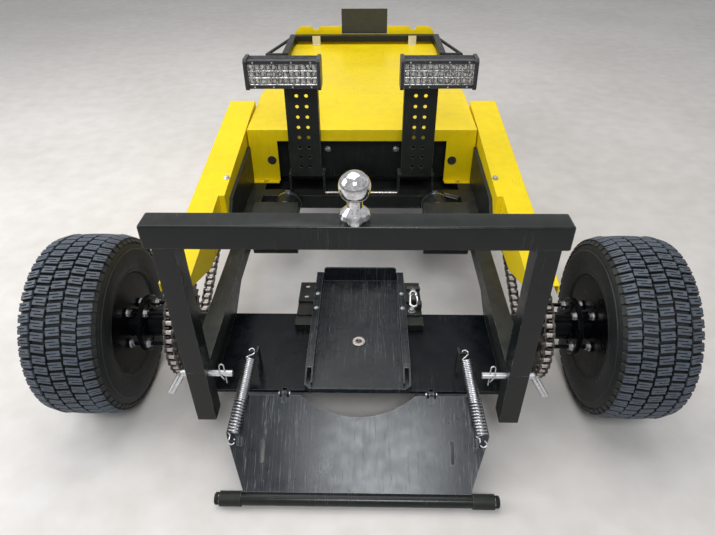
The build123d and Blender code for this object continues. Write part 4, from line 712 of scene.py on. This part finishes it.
axle_line = Vector((0, axle.y, axle.z))
for side, sign in SIDES:
    barrel, studs, nuts = bmesh.new(), bmesh.new(), bmesh.new()
    section = [axle_line + Vector((sign * (x + beyond * mm), 0, radius * mm)) for x, beyond, radius in HUB_SECTION]
    turned_ring(barrel, section, axle_line, RIGHT, 64)
    for index in range(STUDS):
        angle = STUD_PHASE + FULL_TURN / STUDS * index
        boss = on_circle(axle_line, BOSS_CIRCLE, angle + FULL_TURN / STUDS / 2)
        cross_rod(barrel, boss, sign * (flange_back - 2 * mm), sign * (flange_face - 8 * mm), BOSS_RADIUS)
        stud = on_circle(axle_line, STUD_CIRCLE, angle)
        cross_rod(studs, stud, sign * hub_back, sign * (rim_x + 14 * mm), STUD_RADIUS)
        cross_rod(studs, stud, sign * (rim_x - 4 * mm), sign * rim_x, COLLAR_RADIUS)
        for x, way in ((flange_back, -sign), (rim_x - 4 * mm, -sign), (rim_x + 4 * mm, sign)):
            hex_head(nuts, (sign * x, stud.y, stud.z), RIGHT * way, NUT_ACROSS, NUT_HIGH)
    finish_piece("hub_body_" + side, barrel, "rim_black", "wheel_" + side, ("hub_" + side,))
    finish_piece("hub_studs_" + side, studs, "rim_black", "wheel_" + side)
    finish_piece("hub_nuts_" + side, nuts, "zinc", "wheel_" + side)
print("hubs reach from", round(hub_back, 3), "to", round(hub_cap, 3))

# %% [markdown]
# ## Roller chain
# A chain is hundreds of small steel pieces: waisted side plates, rollers and riveted pins.
# The chain's path runs round two circles and along their outer tangents. Its pins stand at equal steps along it.
# Each link's plates are built between two neighbouring pins, close in on every other link and further out between.

# %% The chain's path
CHAIN_PITCH, WHEEL_TEETH, MOTOR_TEETH = 19.05 * mm, 36, 12
big_radius, small_radius = (CHAIN_PITCH / 2 / math.sin(math.pi / teeth) for teeth in (WHEEL_TEETH, MOTOR_TEETH))
motor_line = Vector((0, motor_centre.y, motor_centre.z))
between = motor_line - axle_line
lift = math.atan2(between.z, between.y)
lean = math.asin((big_radius - small_radius) / between.length)
straight = between.length * math.cos(lean)
half_big, small_wrap = big_radius * (math.pi / 2 + lean), small_radius * (math.pi - 2 * lean)
LINK_STEP = big_radius * FULL_TURN / WHEEL_TEETH


def chain_point(run):
    """The chain's centre line after a run from the middle of the large wrap."""
    leave, meet = lift - math.pi / 2 + lean, lift + math.pi / 2 - lean
    if run <= half_big:
        return on_circle(axle_line, big_radius, lift + math.pi + run / big_radius)
    run -= half_big
    if run <= straight:
        end = on_circle(motor_line, small_radius, leave)
        return on_circle(axle_line, big_radius, leave).lerp(end, run / straight)
    run -= straight
    if run <= small_wrap:
        return on_circle(motor_line, small_radius, leave + run / small_radius)
    run -= small_wrap
    if run <= straight:
        end = on_circle(axle_line, big_radius, meet)
        return on_circle(motor_line, small_radius, meet).lerp(end, run / straight)
    return on_circle(axle_line, big_radius, meet + (run - straight) / big_radius)


link_count = round((2 * (half_big + straight) + small_wrap) / LINK_STEP)
pins = [chain_point(index * LINK_STEP) for index in range(link_count)]
print("chain links", link_count)

# %% Link plates and rollers
PLATE_THICK, PLATE_ROUND, PLATE_WAIST = 2.2 * mm, 8.2 * mm, 5.6 * mm
ROLLER_RADIUS, ROLLER_HALF, PIN_RADIUS = 5.9 * mm, 6.3 * mm, 2.9 * mm
INNER_PLATE, OUTER_PLATE = ROLLER_HALF + 1.2 * mm, ROLLER_HALF + 3.7 * mm
PIN_HALF = OUTER_PLATE + 2 * mm


def link_plate(bm, start, end, x):
    """A side plate: a round eye at each pin and a waist between them."""
    for pin in (start, end):
        cross_rod(bm, pin, x - PLATE_THICK / 2, x + PLATE_THICK / 2, PLATE_ROUND, segments=14)
    centre, along = (start + end) / 2, end - start
    place = Matrix.Translation((x, centre.y, centre.z)) @ Matrix.Rotation(math.atan2(along.z, along.y), 4, "X")
    brick(bm, (0, 0, 0), (PLATE_THICK * 0.98, along.length, 2 * PLATE_WAIST), place)


for side, sign in SIDES:
    plates, rollers = bmesh.new(), bmesh.new()
    chain_x = sign * middle("wheel_sprocket_right").x
    for index, pin in enumerate(pins):
        stand = OUTER_PLATE if index % 2 else INNER_PLATE
        for face in (-1, 1):
            link_plate(plates, pin, pins[(index + 1) % link_count], chain_x + face * stand)
        for half, radius, segments in ((ROLLER_HALF, ROLLER_RADIUS, 14), (PIN_HALF, PIN_RADIUS, 10)):
            cross_rod(rollers, pin, chain_x - half, chain_x + half, radius, segments=segments)
    finish_piece("chain_plates_" + side, plates, "chain_steel", "chassis", ("chain_" + side,))
    finish_piece("chain_rollers_" + side, rollers, "chain_steel", "chassis", look="roller_steel")
print("chain runs at x", round(chain_x, 3))

# %% [markdown]
# ## Bent wire
# Springs, clips and eyes are round wire. A curve with a round section follows any row of points,
# so the wire's centre line is worked out first, and the curve then becomes a mesh.

# %% Wire helpers
def add_wire(bm, points, radius, resolution=3):
    """A round wire through points, added to a bmesh."""
    curve = bpy.data.curves.new("wire", "CURVE")
    curve.dimensions, curve.bevel_depth, curve.bevel_resolution = "3D", radius, resolution
    curve.use_fill_caps = True
    line = curve.splines.new("POLY")
    line.points.add(len(points) - 1)
    for spot, point in zip(line.points, points):
        spot.co = (*point, 1)
    holder = bpy.data.objects.new("wire", curve)
    mesh = bpy.data.meshes.new_from_object(holder)
    bm.from_mesh(mesh)
    bpy.data.objects.remove(holder)
    bpy.data.curves.remove(curve)
    bpy.data.meshes.remove(mesh)


def arc_points(centre, first, second, radius, start, end, steps):
    """Points on an arc about a centre, from the first direction towards the second."""
    angles = [start + (end - start) * step / steps for step in range(steps + 1)]
    return [centre + (first * math.cos(angle) + second * math.sin(angle)) * radius for angle in angles]


def offset_mm(base, *offset):
    """A point some millimetres from another."""
    return base + Vector(offset) * mm


print("an arc of 4 steps has", len(arc_points(UP, RIGHT, BACK, 1, 0, math.pi, 4)), "points")

# %% [markdown]
# ## Ramp springs
# The flap hangs on two zinc-plated extension springs. Their coils are wound tight above and drawn open below.
# A helix is a curve worked out turn by turn, with a hook bent at each end.
# Both hooks are placed for the flap at rest, and the spring keeps that shape.

# %% Wind the springs
COIL_RADIUS, WIRE_RADIUS, CLOSED_PITCH = 11.3 * mm, 1.85 * mm, 3.75 * mm
CLOSED_TURNS, OPEN_TURNS, STEPS_PER_TURN = 23, 11, 16
HOOK_RADIUS, HOOK_REACH, HOOK_OPEN, HOOK_SHUT = 6.5 * mm, 16 * mm, -2.6, 1.2
SPRING_HEAD = Vector((230 * mm, hinge.y + 58 * mm, 200 * mm))
EYE_ACROSS, EYE_DOWN, EYE_ABOVE = 258 * mm, 100 * mm, 19 * mm


def spring_line(head, foot):
    """The wire of one spring: hook, tight turns, open turns, hook."""
    along = (foot - head).normalized()
    side_way = along.cross(RIGHT).normalized()
    third = along.cross(side_way)
    open_length = (foot - head).length - 2 * HOOK_REACH - CLOSED_TURNS * CLOSED_PITCH
    points = arc_points(head, -along, third, HOOK_RADIUS, HOOK_OPEN, HOOK_SHUT, 16)[::-1]
    points.append(head + along * (HOOK_REACH * 0.7) + third * COIL_RADIUS * 0.5)
    run = HOOK_REACH
    for step in range((CLOSED_TURNS + OPEN_TURNS) * STEPS_PER_TURN + 1):
        angle = FULL_TURN * step / STEPS_PER_TURN
        points.append(head + along * run + (third * math.cos(angle) + side_way * math.sin(angle)) * COIL_RADIUS)
        pitch = CLOSED_PITCH if step < CLOSED_TURNS * STEPS_PER_TURN else open_length / OPEN_TURNS
        run += pitch / STEPS_PER_TURN
    points.append(foot - along * (HOOK_REACH * 0.7) + third * COIL_RADIUS * 0.5)
    return points + arc_points(foot, along, third, HOOK_RADIUS, HOOK_SHUT, HOOK_OPEN, 16)


for side, sign in SIDES:
    head = Vector((sign * SPRING_HEAD.x, SPRING_HEAD.y, SPRING_HEAD.z))
    foot = Vector((sign * EYE_ACROSS, hinge.y, hinge.z)) + flap_along * EYE_DOWN + flap_up * EYE_ABOVE
    bm = bmesh.new()
    add_wire(bm, spring_line(head, foot), WIRE_RADIUS, 2)
    spring = finish_piece("ramp_spring_" + side, bm, "zinc", sharp=ALL_SMOOTH)
    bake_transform(spring)
    if side == "right":
        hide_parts("springs")
print("springs", round((foot - head).length, 3), "m between their eyes")

# %% [markdown]
# ## Work lamps
# Each lamp is a flat black housing with cooling ribs, cast end plates and three rows of bright cups.
# The cups are pressed in foil: one is shaped and repeated over the face, with a yellow diode at its bottom.
# Two dark strips with small screws run above and below them.

# %% Lamp housings
LAMP_LONG, END_PLATE, LAMP_INSET, LAMP_CORNER = 187 * mm, 9 * mm, 4 * mm, 12 * mm
FACE_SUNK, RIB_ROOM, RIBS, RIB_STEP, STRIP_IN = 11 * mm, 7 * mm, 5, 7.4 * mm, 8.5 * mm
lamp_low, lamp_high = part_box("lamps")
lamp_face_y = lamp_low.y + LAMP_INSET
body_long = LAMP_LONG - 2 * END_PLATE


def lamp_side(inset, room=0.0):
    """Side outline of the lamp, as (y, z), with its corners cut."""
    y0, y1, cut = lamp_low.y + inset, lamp_high.y, LAMP_CORNER
    z0, z1 = lamp_low.z + inset, lamp_high.z - inset - room
    return [(y0, z0 + cut / 2), (y0 + cut / 2, z0), (y1 - cut, z0), (y1, z0 + cut), (y1, z1 - cut), (y1 - cut, z1),
            (y0 + cut / 2, z1), (y0, z1 - cut / 2)]


def prism(bm, outline, x, length):
    """An outline given as (y, z), drawn out across the tug from x."""
    face = bm.faces.new([bm.verts.new((x, y, z)) for y, z in outline])
    made = bmesh.ops.extrude_face_region(bm, geom=[face])["geom"]
    bmesh.ops.translate(bm, verts=[part for part in made if isinstance(part, bmesh.types.BMVert)], vec=(length, 0, 0))
    bmesh.ops.recalc_face_normals(bm, faces=bm.faces)


for side, sign in SIDES:
    low_x, high_x = sorted((sign * lamp_high.x, sign * (lamp_high.x - LAMP_LONG)))
    middle_x = (low_x + high_x) / 2
    bm = bmesh.new()
    for x in (low_x, high_x - END_PLATE):
        prism(bm, lamp_side(0), x, END_PLATE)
    body = [(y + (FACE_SUNK if y < lamp_face_y + 8 * mm else 0), z) for y, z in lamp_side(LAMP_INSET, RIB_ROOM)]
    prism(bm, body, low_x + END_PLATE, body_long)
    for y in [lamp_low.y + 20 * mm + rib * RIB_STEP for rib in range(RIBS)]:
        brick(bm, (middle_x, y, lamp_high.z - 8 * mm), (body_long, 2.6 * mm, 8 * mm))
        brick(bm, (middle_x, y, lamp_low.z + 6 * mm), (body_long, 2.0 * mm, 6 * mm))
    for z in (lamp_high.z - STRIP_IN, lamp_low.z + STRIP_IN):
        brick(bm, (middle_x, lamp_face_y + 7 * mm, z), (body_long, 14 * mm, 9 * mm))
    stands_for = ("lamps",) if sign > 0 else ()
    soften(finish_piece("lamp_housing_" + side, bm, "lamp_black", "chassis", stands_for), 1.0 * mm)
print("lamps", LAMP_LONG, "m long")

# %% Reflector cups, diodes and screws
CUP_COLUMNS, CUP_ROWS, SCREW_COLUMNS = 12, 3, 4
CUP_STEPS = (
    # share of the cup's width that each step goes in, and its depth
    (0.05, 0.0), (0.15, 1.6 * mm), (0.13, 2.6 * mm),
)
cups_wide, cups_tall = body_long - 1 * mm, (lamp_high.z - lamp_low.z) - 26 * mm
cell_x, cell_z = cups_wide / CUP_COLUMNS, cups_tall / CUP_ROWS


def cup(bm, place):
    """A square cup: a flat cell whose face is inset and pushed in, step by step."""
    lying = Matrix.Diagonal((cell_x, 1, cell_z, 1)) @ Matrix.Rotation(math.radians(90), 4, "X")
    matrix = Matrix.Translation(place) @ lying
    verts = bmesh.ops.create_grid(bm, x_segments=1, y_segments=1, size=0.5, matrix=matrix)["verts"]
    face = verts[0].link_faces[0]
    for inset, depth in CUP_STEPS:
        bmesh.ops.inset_individual(bm, faces=[face], thickness=inset * cell_x, depth=0.0)
        bmesh.ops.translate(bm, verts=face.verts[:], vec=(0, depth, 0))


for side, sign in SIDES:
    centre = Vector((sign * (lamp_high.x - LAMP_LONG / 2), lamp_face_y, (lamp_low.z + lamp_high.z) / 2))
    cups, diodes, screws = bmesh.new(), bmesh.new(), bmesh.new()
    for row in range(CUP_ROWS):
        for column in range(CUP_COLUMNS):
            x, z = (column - (CUP_COLUMNS - 1) / 2) * cell_x, (row - (CUP_ROWS - 1) / 2) * cell_z
            cup(cups, centre + Vector((x, 2 * mm, z)))
            brick(diodes, centre + Vector((x, 5.8 * mm, z)), (3.4 * mm, 1 * mm, 3.4 * mm))
    for column in range(SCREW_COLUMNS):
        x = centre.x + (column - (SCREW_COLUMNS - 1) / 2) * cups_wide / 3.6
        for z in (lamp_low.z + STRIP_IN, lamp_high.z - STRIP_IN):
            rod(screws, (x, lamp_face_y + 1 * mm, z), (x, lamp_face_y - 1 * mm, z), 2.6 * mm, 2 * mm, 12)
    bmesh.ops.recalc_face_normals(cups, faces=cups.faces)
    stands_for = ("reflectors",) if sign > 0 else ()
    finish_piece("lamp_cups_" + side, cups, "lamp_mirror", "chassis", stands_for, ALL_SHARP)
    finish_piece("lamp_diodes_" + side, diodes, "cream_plastic", "chassis", sharp=ALL_SHARP)
    finish_piece("lamp_screws_" + side, screws, "zinc", "chassis")
print("cups in each lamp:", CUP_COLUMNS * CUP_ROWS)

# %% [markdown]
# ## Small hardware
# Bolts, clips and clamps are what tells a machine from a toy. Each sits on a face that the frame gives.
# They are grouped by where they are, so that each group rides on the body that carries it.
# A spring clip keeps each hitch pin in, and a bent handle pulls it out.

# %% Clips and handles of the hitch pins
CLIP_RADIUS, HANDLE_RADIUS, EYE_BEND = 1.5 * mm, 3.4 * mm, 4.5 * mm
CLIP_TAIL_MM = ((8, -7, 7), (5, -8.5, 0), (2, -7.5, -7), (2, -3, -15))
wires = bmesh.new()
for side, sign in SIDES:
    pin = Vector((sign * 257 * mm, middle("gantry_bar").y, axle.z + 47 * mm))
    eye = pin + Vector((sign * EYE_BEND, 0, 20 * mm))
    clip = [pin - UP * 27 * mm, pin + UP * 16 * mm] + arc_points(eye, RIGHT * -sign, UP, EYE_BEND, 0, math.pi, 10)
    add_wire(wires, clip + [offset_mm(pin, sign * x, y, z) for x, y, z in CLIP_TAIL_MM], CLIP_RADIUS)
    start, down = offset_mm(pin, sign * 88, -8, 4), Vector((sign * 0.5, 0, -0.866))
    add_wire(wires, [start, start + down * 4 * mm, start + down * 58 * mm], HANDLE_RADIUS)
finish_piece("hitch_clips", wires, "zinc", "chassis")
print("pins' height", round(pin.z, 3))

# %% [markdown]
# ## Bolts
# Plates are bolted where they have to come off, such as at the motor plates, the chain guards and the casters.
# One list gives the places and sizes for a side, and the same hex head is set on all of them.

# %% Bolts on the frame
bulkhead_front, post_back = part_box("bulkhead")[0].y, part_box("lamp_posts")[1].y
plate_low, plate_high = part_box("motor_plates")
beam_low, beam_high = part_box("caster_beam")
beam_y, plate_long = middle("caster_beam").y, plate_high.y - plate_low.y
FENDER_UP = Vector((0, -0.1236, 0.9923))
bolts = bmesh.new()
for side, sign in SIDES:
    out = RIGHT * sign
    heads = [
        # x, y and z, the way it faces, mm across its flats and mm high
        (102 * mm, bulkhead_front, axle.z + 156 * mm, -BACK, 13, 7),
        (343 * mm, axle.y + 334 * mm, axle.z + 197.4 * mm, FENDER_UP, 11, 6),
    ]
    heads += [(plate_high.x, plate_low.y + plate_long * share, beam_high.z + 19 * mm, out, 13, 7)
              for share in (0.25, 0.55, 0.85)]
    heads += [(x, post_back - 13 * mm, axle.z + 135 * mm, UP, 12, 7) for x in (123 * mm, 188 * mm)]
    heads += [(328 * mm, axle.y + y * mm, axle.z + z * mm, out, 15, 8) for y in (-44, 44) for z in (-55, 13)]
    for x, y, z, way, across, high in heads:
        hex_head(bolts, (sign * x, y, z), way, across * mm, high * mm)
    for x, y in ((247, 26), (183, 26), (247, -26), (183, -26)):
        seat = (sign * x * mm, beam_y + y * mm, beam_low.z - 6 * mm)
        hex_head(bolts, seat, -UP, 11 * mm, 6 * mm, washer=False)
finish_piece("frame_bolts", bolts, "zinc", "chassis")
print("bolts a side", len(heads) + 4)

# %% [markdown]
# ## Ends, bands and feet
# Nuts close the tip bar, bright bands lie round the motor cans, and folded feet lie in front of the hood's legs.
# The bands are partly guessed from a few bright pixels. Short rods and rounded boxes make all three.

# %% Tip bar ends, motor bands and the hood's foot folds
ends, bands, feet = bmesh.new(), bmesh.new(), bmesh.new()
sleeve_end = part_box("tip_sleeves")[1].x
hood_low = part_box("hood_front")[0]
can = Vector((211 * mm, axle.y, motor_centre.z))
for side, sign in SIDES:
    cap = sign * (sleeve_end + 1 * mm)
    cross_rod(ends, tip, sign * sleeve_end, cap, 12.6 * mm)
    cross_rod(ends, tip, cap, cap + sign * 6 * mm, 11.4 * mm, 10.6 * mm, segments=6)
    for y in (396, 462):
        place = Vector((sign * can.x, can.y + y * mm, can.z))
        rod(bands, place - BACK * 4 * mm, place + BACK * 4 * mm, 37 * mm, segments=40)
        brick(bands, place + UP * 39 * mm, (14 * mm, 7 * mm, 6 * mm))
    foot = Vector((sign * 289 * mm, hood_low.y - 8 * mm, hood_low.z))
    round_brick(feet, foot + UP * 1.5 * mm, (80 * mm, 16 * mm, 3 * mm), 0.8 * mm)
    hex_head(feet, foot + UP * 3 * mm, UP, 10 * mm, 6 * mm)
finish_piece("tip_bar_nuts", ends, "zinc", "ramp")
finish_piece("motor_bands", bands, "zinc", "chassis")
finish_piece("hood_feet", feet, "yellow_paint", "chassis")
print("tip bar ends at", round(sleeve_end, 3))

# %% [markdown]
# ## Bare strips
# A few pale pixels show beside the motors. They are read as two bare strips on the floor plate and a bare rod.
# Rounded boxes and one rod are enough, because nothing finer can be seen there.

# %% Bare strips behind the motors
floor_low, floor_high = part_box("floor_plate")
rail_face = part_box("side_plates")[1].x - 40 * mm
strips = bmesh.new()
for side, sign in SIDES:
    seat = (sign * 230 * mm, floor_low.y - 1.5 * mm, floor_high.z - 3 * mm)
    round_brick(strips, seat, (80 * mm, 3 * mm, 9 * mm), 0.8 * mm)
rod(strips, offset_mm(can, 24, 466, 30), (rail_face, can.y + 474 * mm, can.z + 14 * mm), 5 * mm)
finish_piece("bare_strips", strips, "zinc", "chassis")
print("strips lie at height", round(floor_high.z, 3), "and the rod ends at x", round(rail_face, 3))

# %% [markdown]
# ## The cradle's fittings
# The device on the cradle's right bracket is blurred in the photograph, so its exact form is a guess.
# It is made as a tie-down eye with a shackle, from bent wire, and as blocks and nuts beside it.
# A turned ring lies round the bolt that the cradle turns on. All of it rides on the cradle, and turns with it.

# %% Tie-down eye on the right bracket
wing_top = Vector((0, axle.y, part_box("strap_wings")[1].z))
eye = offset_mm(wing_top, 134, 134, 9)
hanging = Vector((0, -0.6, 0.8)).cross(RIGHT)
shackle = [offset_mm(eye, -8, -10, 1), offset_mm(eye, -9, -24, -3)]
shackle += arc_points(offset_mm(eye, 0, -30, -5), -RIGHT, Vector((0, -0.97, -0.24)), 9 * mm, 0, math.pi, 12)
shackle += [offset_mm(eye, 9, -24, -3), offset_mm(eye, 8, -10, 1)]
wires = bmesh.new()
add_wire(wires, arc_points(eye, RIGHT, hanging, 7.5 * mm, 0, FULL_TURN, 24), 3.4 * mm)
add_wire(wires, shackle, 3.2 * mm)
finish_piece("tie_down_eye", wires, "zinc", "cradle")
print("eye at", eye)

# %% Clamp, nuts and the turn ring
CLAMP_BLOCKS_MM = (
    # place from the bracket's top at the axle, size, rounding
    ((134, 120, 8), (11, 20, 7), 1.5), ((147, 98, 6), (10, 15, 14), 1.2), ((136, 162, 4), (34, 10, 8), 1.2),
)
CRADLE_NUTS_MM = (
    # place from the same point, width across the flats, height
    ((128, 88, -7), 12, 8), ((134, 150, 0), 13, 9), ((-105.5, 90, 0), 8, 3), ((-105.5, 146, 0), 8, 3),
    ((105.5, 90, 0), 8, 3), ((105.5, 146, 0), 8, 3),
)
RING_SECTION_MM = ((7, 0.2), (15, 0.2), (15, 2.2), (13.6, 2.8), (8, 2.8), (7, 2.2))
clamp, nuts, ring = bmesh.new(), bmesh.new(), bmesh.new()
for place, size, rounding in CLAMP_BLOCKS_MM:
    round_brick(clamp, offset_mm(wing_top, *place), Vector(size) * mm, rounding * mm)
for place, across, high in CRADLE_NUTS_MM:
    hex_head(nuts, offset_mm(wing_top, *place), UP, across * mm, high * mm)
pan_floor = Vector((0, axle.y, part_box("cradle_pan")[0].z + 4 * mm))
turned_ring(ring, [offset_mm(pan_floor, radius, 0, rise) for radius, rise in RING_SECTION_MM], pan_floor, UP, 48)
finish_piece("tie_down_block", clamp, "rubber", "cradle")
finish_piece("cradle_nuts", nuts, "zinc", "cradle")
finish_piece("turn_ring", ring, "zinc", "cradle", look="roller_steel")
print("ring lies at", round(pan_floor.z, 4))

# %% [markdown]
# ## Casters and the control box
# The casters are hidden in the photograph and the control box shows no detail, so both follow usual products.
# A caster gets a round race on top of its fork and a bolt head on each leg.
# The box gets a sloping lid, made of one thin rounded box that is tilted, with a screw at each corner.

# %% Caster axles and races
for side, sign in SIDES:
    axles = bmesh.new()
    roll, swivel = joint_place["caster_roll_" + side], joint_place["caster_turn_" + side]
    fork_low, fork_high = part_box("caster_fork_" + side)
    for way, x in ((-1, fork_low.x + 4 * mm), (1, fork_high.x - 4 * mm)):
        hex_head(axles, (x, roll.y, roll.z), RIGHT * way, 16 * mm, 4 * mm, washer=False)
    race_low, race_high = (Vector((swivel.x, swivel.y, fork_high.z - down * mm)) for down in (11, 1))
    rod(axles, race_low, race_high, 33 * mm, segments=40)
    finish_piece("caster_details_" + side, axles, "zinc", "caster_" + side)
print("caster wheels turn at", round(roll.z, 3))

# %% Lid and screws of the control box
LID_FALL, LID_WIDE, LID_THICK, SCREW_X = 30 * mm, 188 * mm, 3 * mm, 84 * mm
box_low, box_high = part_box("control_box")
deep = box_high.y - box_low.y
slope = math.atan2(-LID_FALL, deep)
lid_centre = (0, (box_low.y + box_high.y) / 2, box_high.z - LID_FALL / 2 - 1.2 * mm)
lid_place = Matrix.Translation(lid_centre) @ Matrix.Rotation(slope, 4, "X")
lid_up = Vector((0, LID_FALL, deep)).normalized()
lid, lid_screws = bmesh.new(), bmesh.new()
round_brick(lid, (0, 0, 0), (LID_WIDE, deep / math.cos(slope) - LID_THICK, LID_THICK), 1 * mm, place=lid_place)
for sign in (-1, 1):
    for share in (0.12, 0.88):
        seat = Vector((sign * SCREW_X, box_low.y + deep * share, box_high.z - LID_FALL * share))
        rod(lid_screws, seat - lid_up * 0.5 * mm, seat + lid_up * 1.6 * mm, 4 * mm, 3 * mm)
finish_piece("control_lid", lid, "box_plastic", "chassis")
finish_piece("control_screws", lid_screws, "zinc", "chassis")
print("lid slopes", round(math.degrees(slope), 1), "degrees")

# %% [markdown]
# ## The floor and the light
# A plain pale floor keeps the eye on the tug. Large soft lamps act as a workshop's open door and ceiling.
# The world is pale to the camera and in reflections, and gives a level at which colours look as written.

# %% Floor
FLOOR_HALF = 80
material, tree, shader, _, base = base_coat("Pale floor", (0.80, 0.765, 0.73), (0.70, 0.66, 0.62), 1.6, 14.0)
wire(tree, base, shader["Base Color"])
shader["Roughness"].default_value = 0.55
bm = bmesh.new()
bmesh.ops.create_grid(bm, x_segments=1, y_segments=1, size=FLOOR_HALF)
floor_mesh = bpy.data.meshes.new("floor")
bm.to_mesh(floor_mesh)
bm.free()
floor_mesh.materials.append(material)
floor = bpy.data.objects.new("floor", floor_mesh)
bpy.context.scene.collection.objects.link(floor)
print("floor", FLOOR_HALF * 2, "m wide")

# %% World
world = bpy.data.worlds.new("pale room")
bpy.context.scene.world = world
world.use_nodes = True
tree = world.node_tree
backdrop = tree.nodes["Background"].inputs
seen = node(tree, "ShaderNodeLightPath").outputs
shown = maths(tree, "MAXIMUM", seen["Is Camera Ray"], seen["Is Transmission Ray"])
shown = maths(tree, "MAXIMUM", shown, times(tree, seen["Is Glossy Ray"], 0.6))
wire(tree, blend_colour(tree, shown, (0.56, 0.58, 0.62), (0.90, 0.89, 0.88)), backdrop["Color"])
wire(tree, remap(tree, shown, 0.0, 1.0, 0.55, 1.0), backdrop["Strength"])
print("world", len(tree.nodes), "nodes")

# %% Lamps
LAMPS = (
    # name, place, aimed at, size, watts, colour
    ("ceiling", (-0.4, 0.4, 3.2), (0.0, 0.1, 0.2), 3.0, 58, (1.0, 0.97, 0.93)),
    ("open_door", (0.10, -2.75, 2.75), (0.0, -0.6, 0.2), 0.9, 40, (0.93, 0.97, 1.0)),
    ("left_window", (-3.0, -0.6, 2.0), (0.0, 0.0, 0.3), 1.8, 52, (0.93, 0.97, 1.0)),
)
for name, place, target, size, watts, colour in LAMPS:
    data = bpy.data.lights.new(name, "AREA")
    data.shape, data.size, data.energy, data.color = "SQUARE", size, watts, colour
    lamp = bpy.data.objects.new(name, data)
    lamp.location = place
    lamp.rotation_euler = (Vector(place) - Vector(target)).to_track_quat("Z", "Y").to_euler()
    bpy.context.scene.collection.objects.link(lamp)
bpy.context.scene.view_settings.view_transform = "Standard"
print("lamps", [row[0] for row in LAMPS])
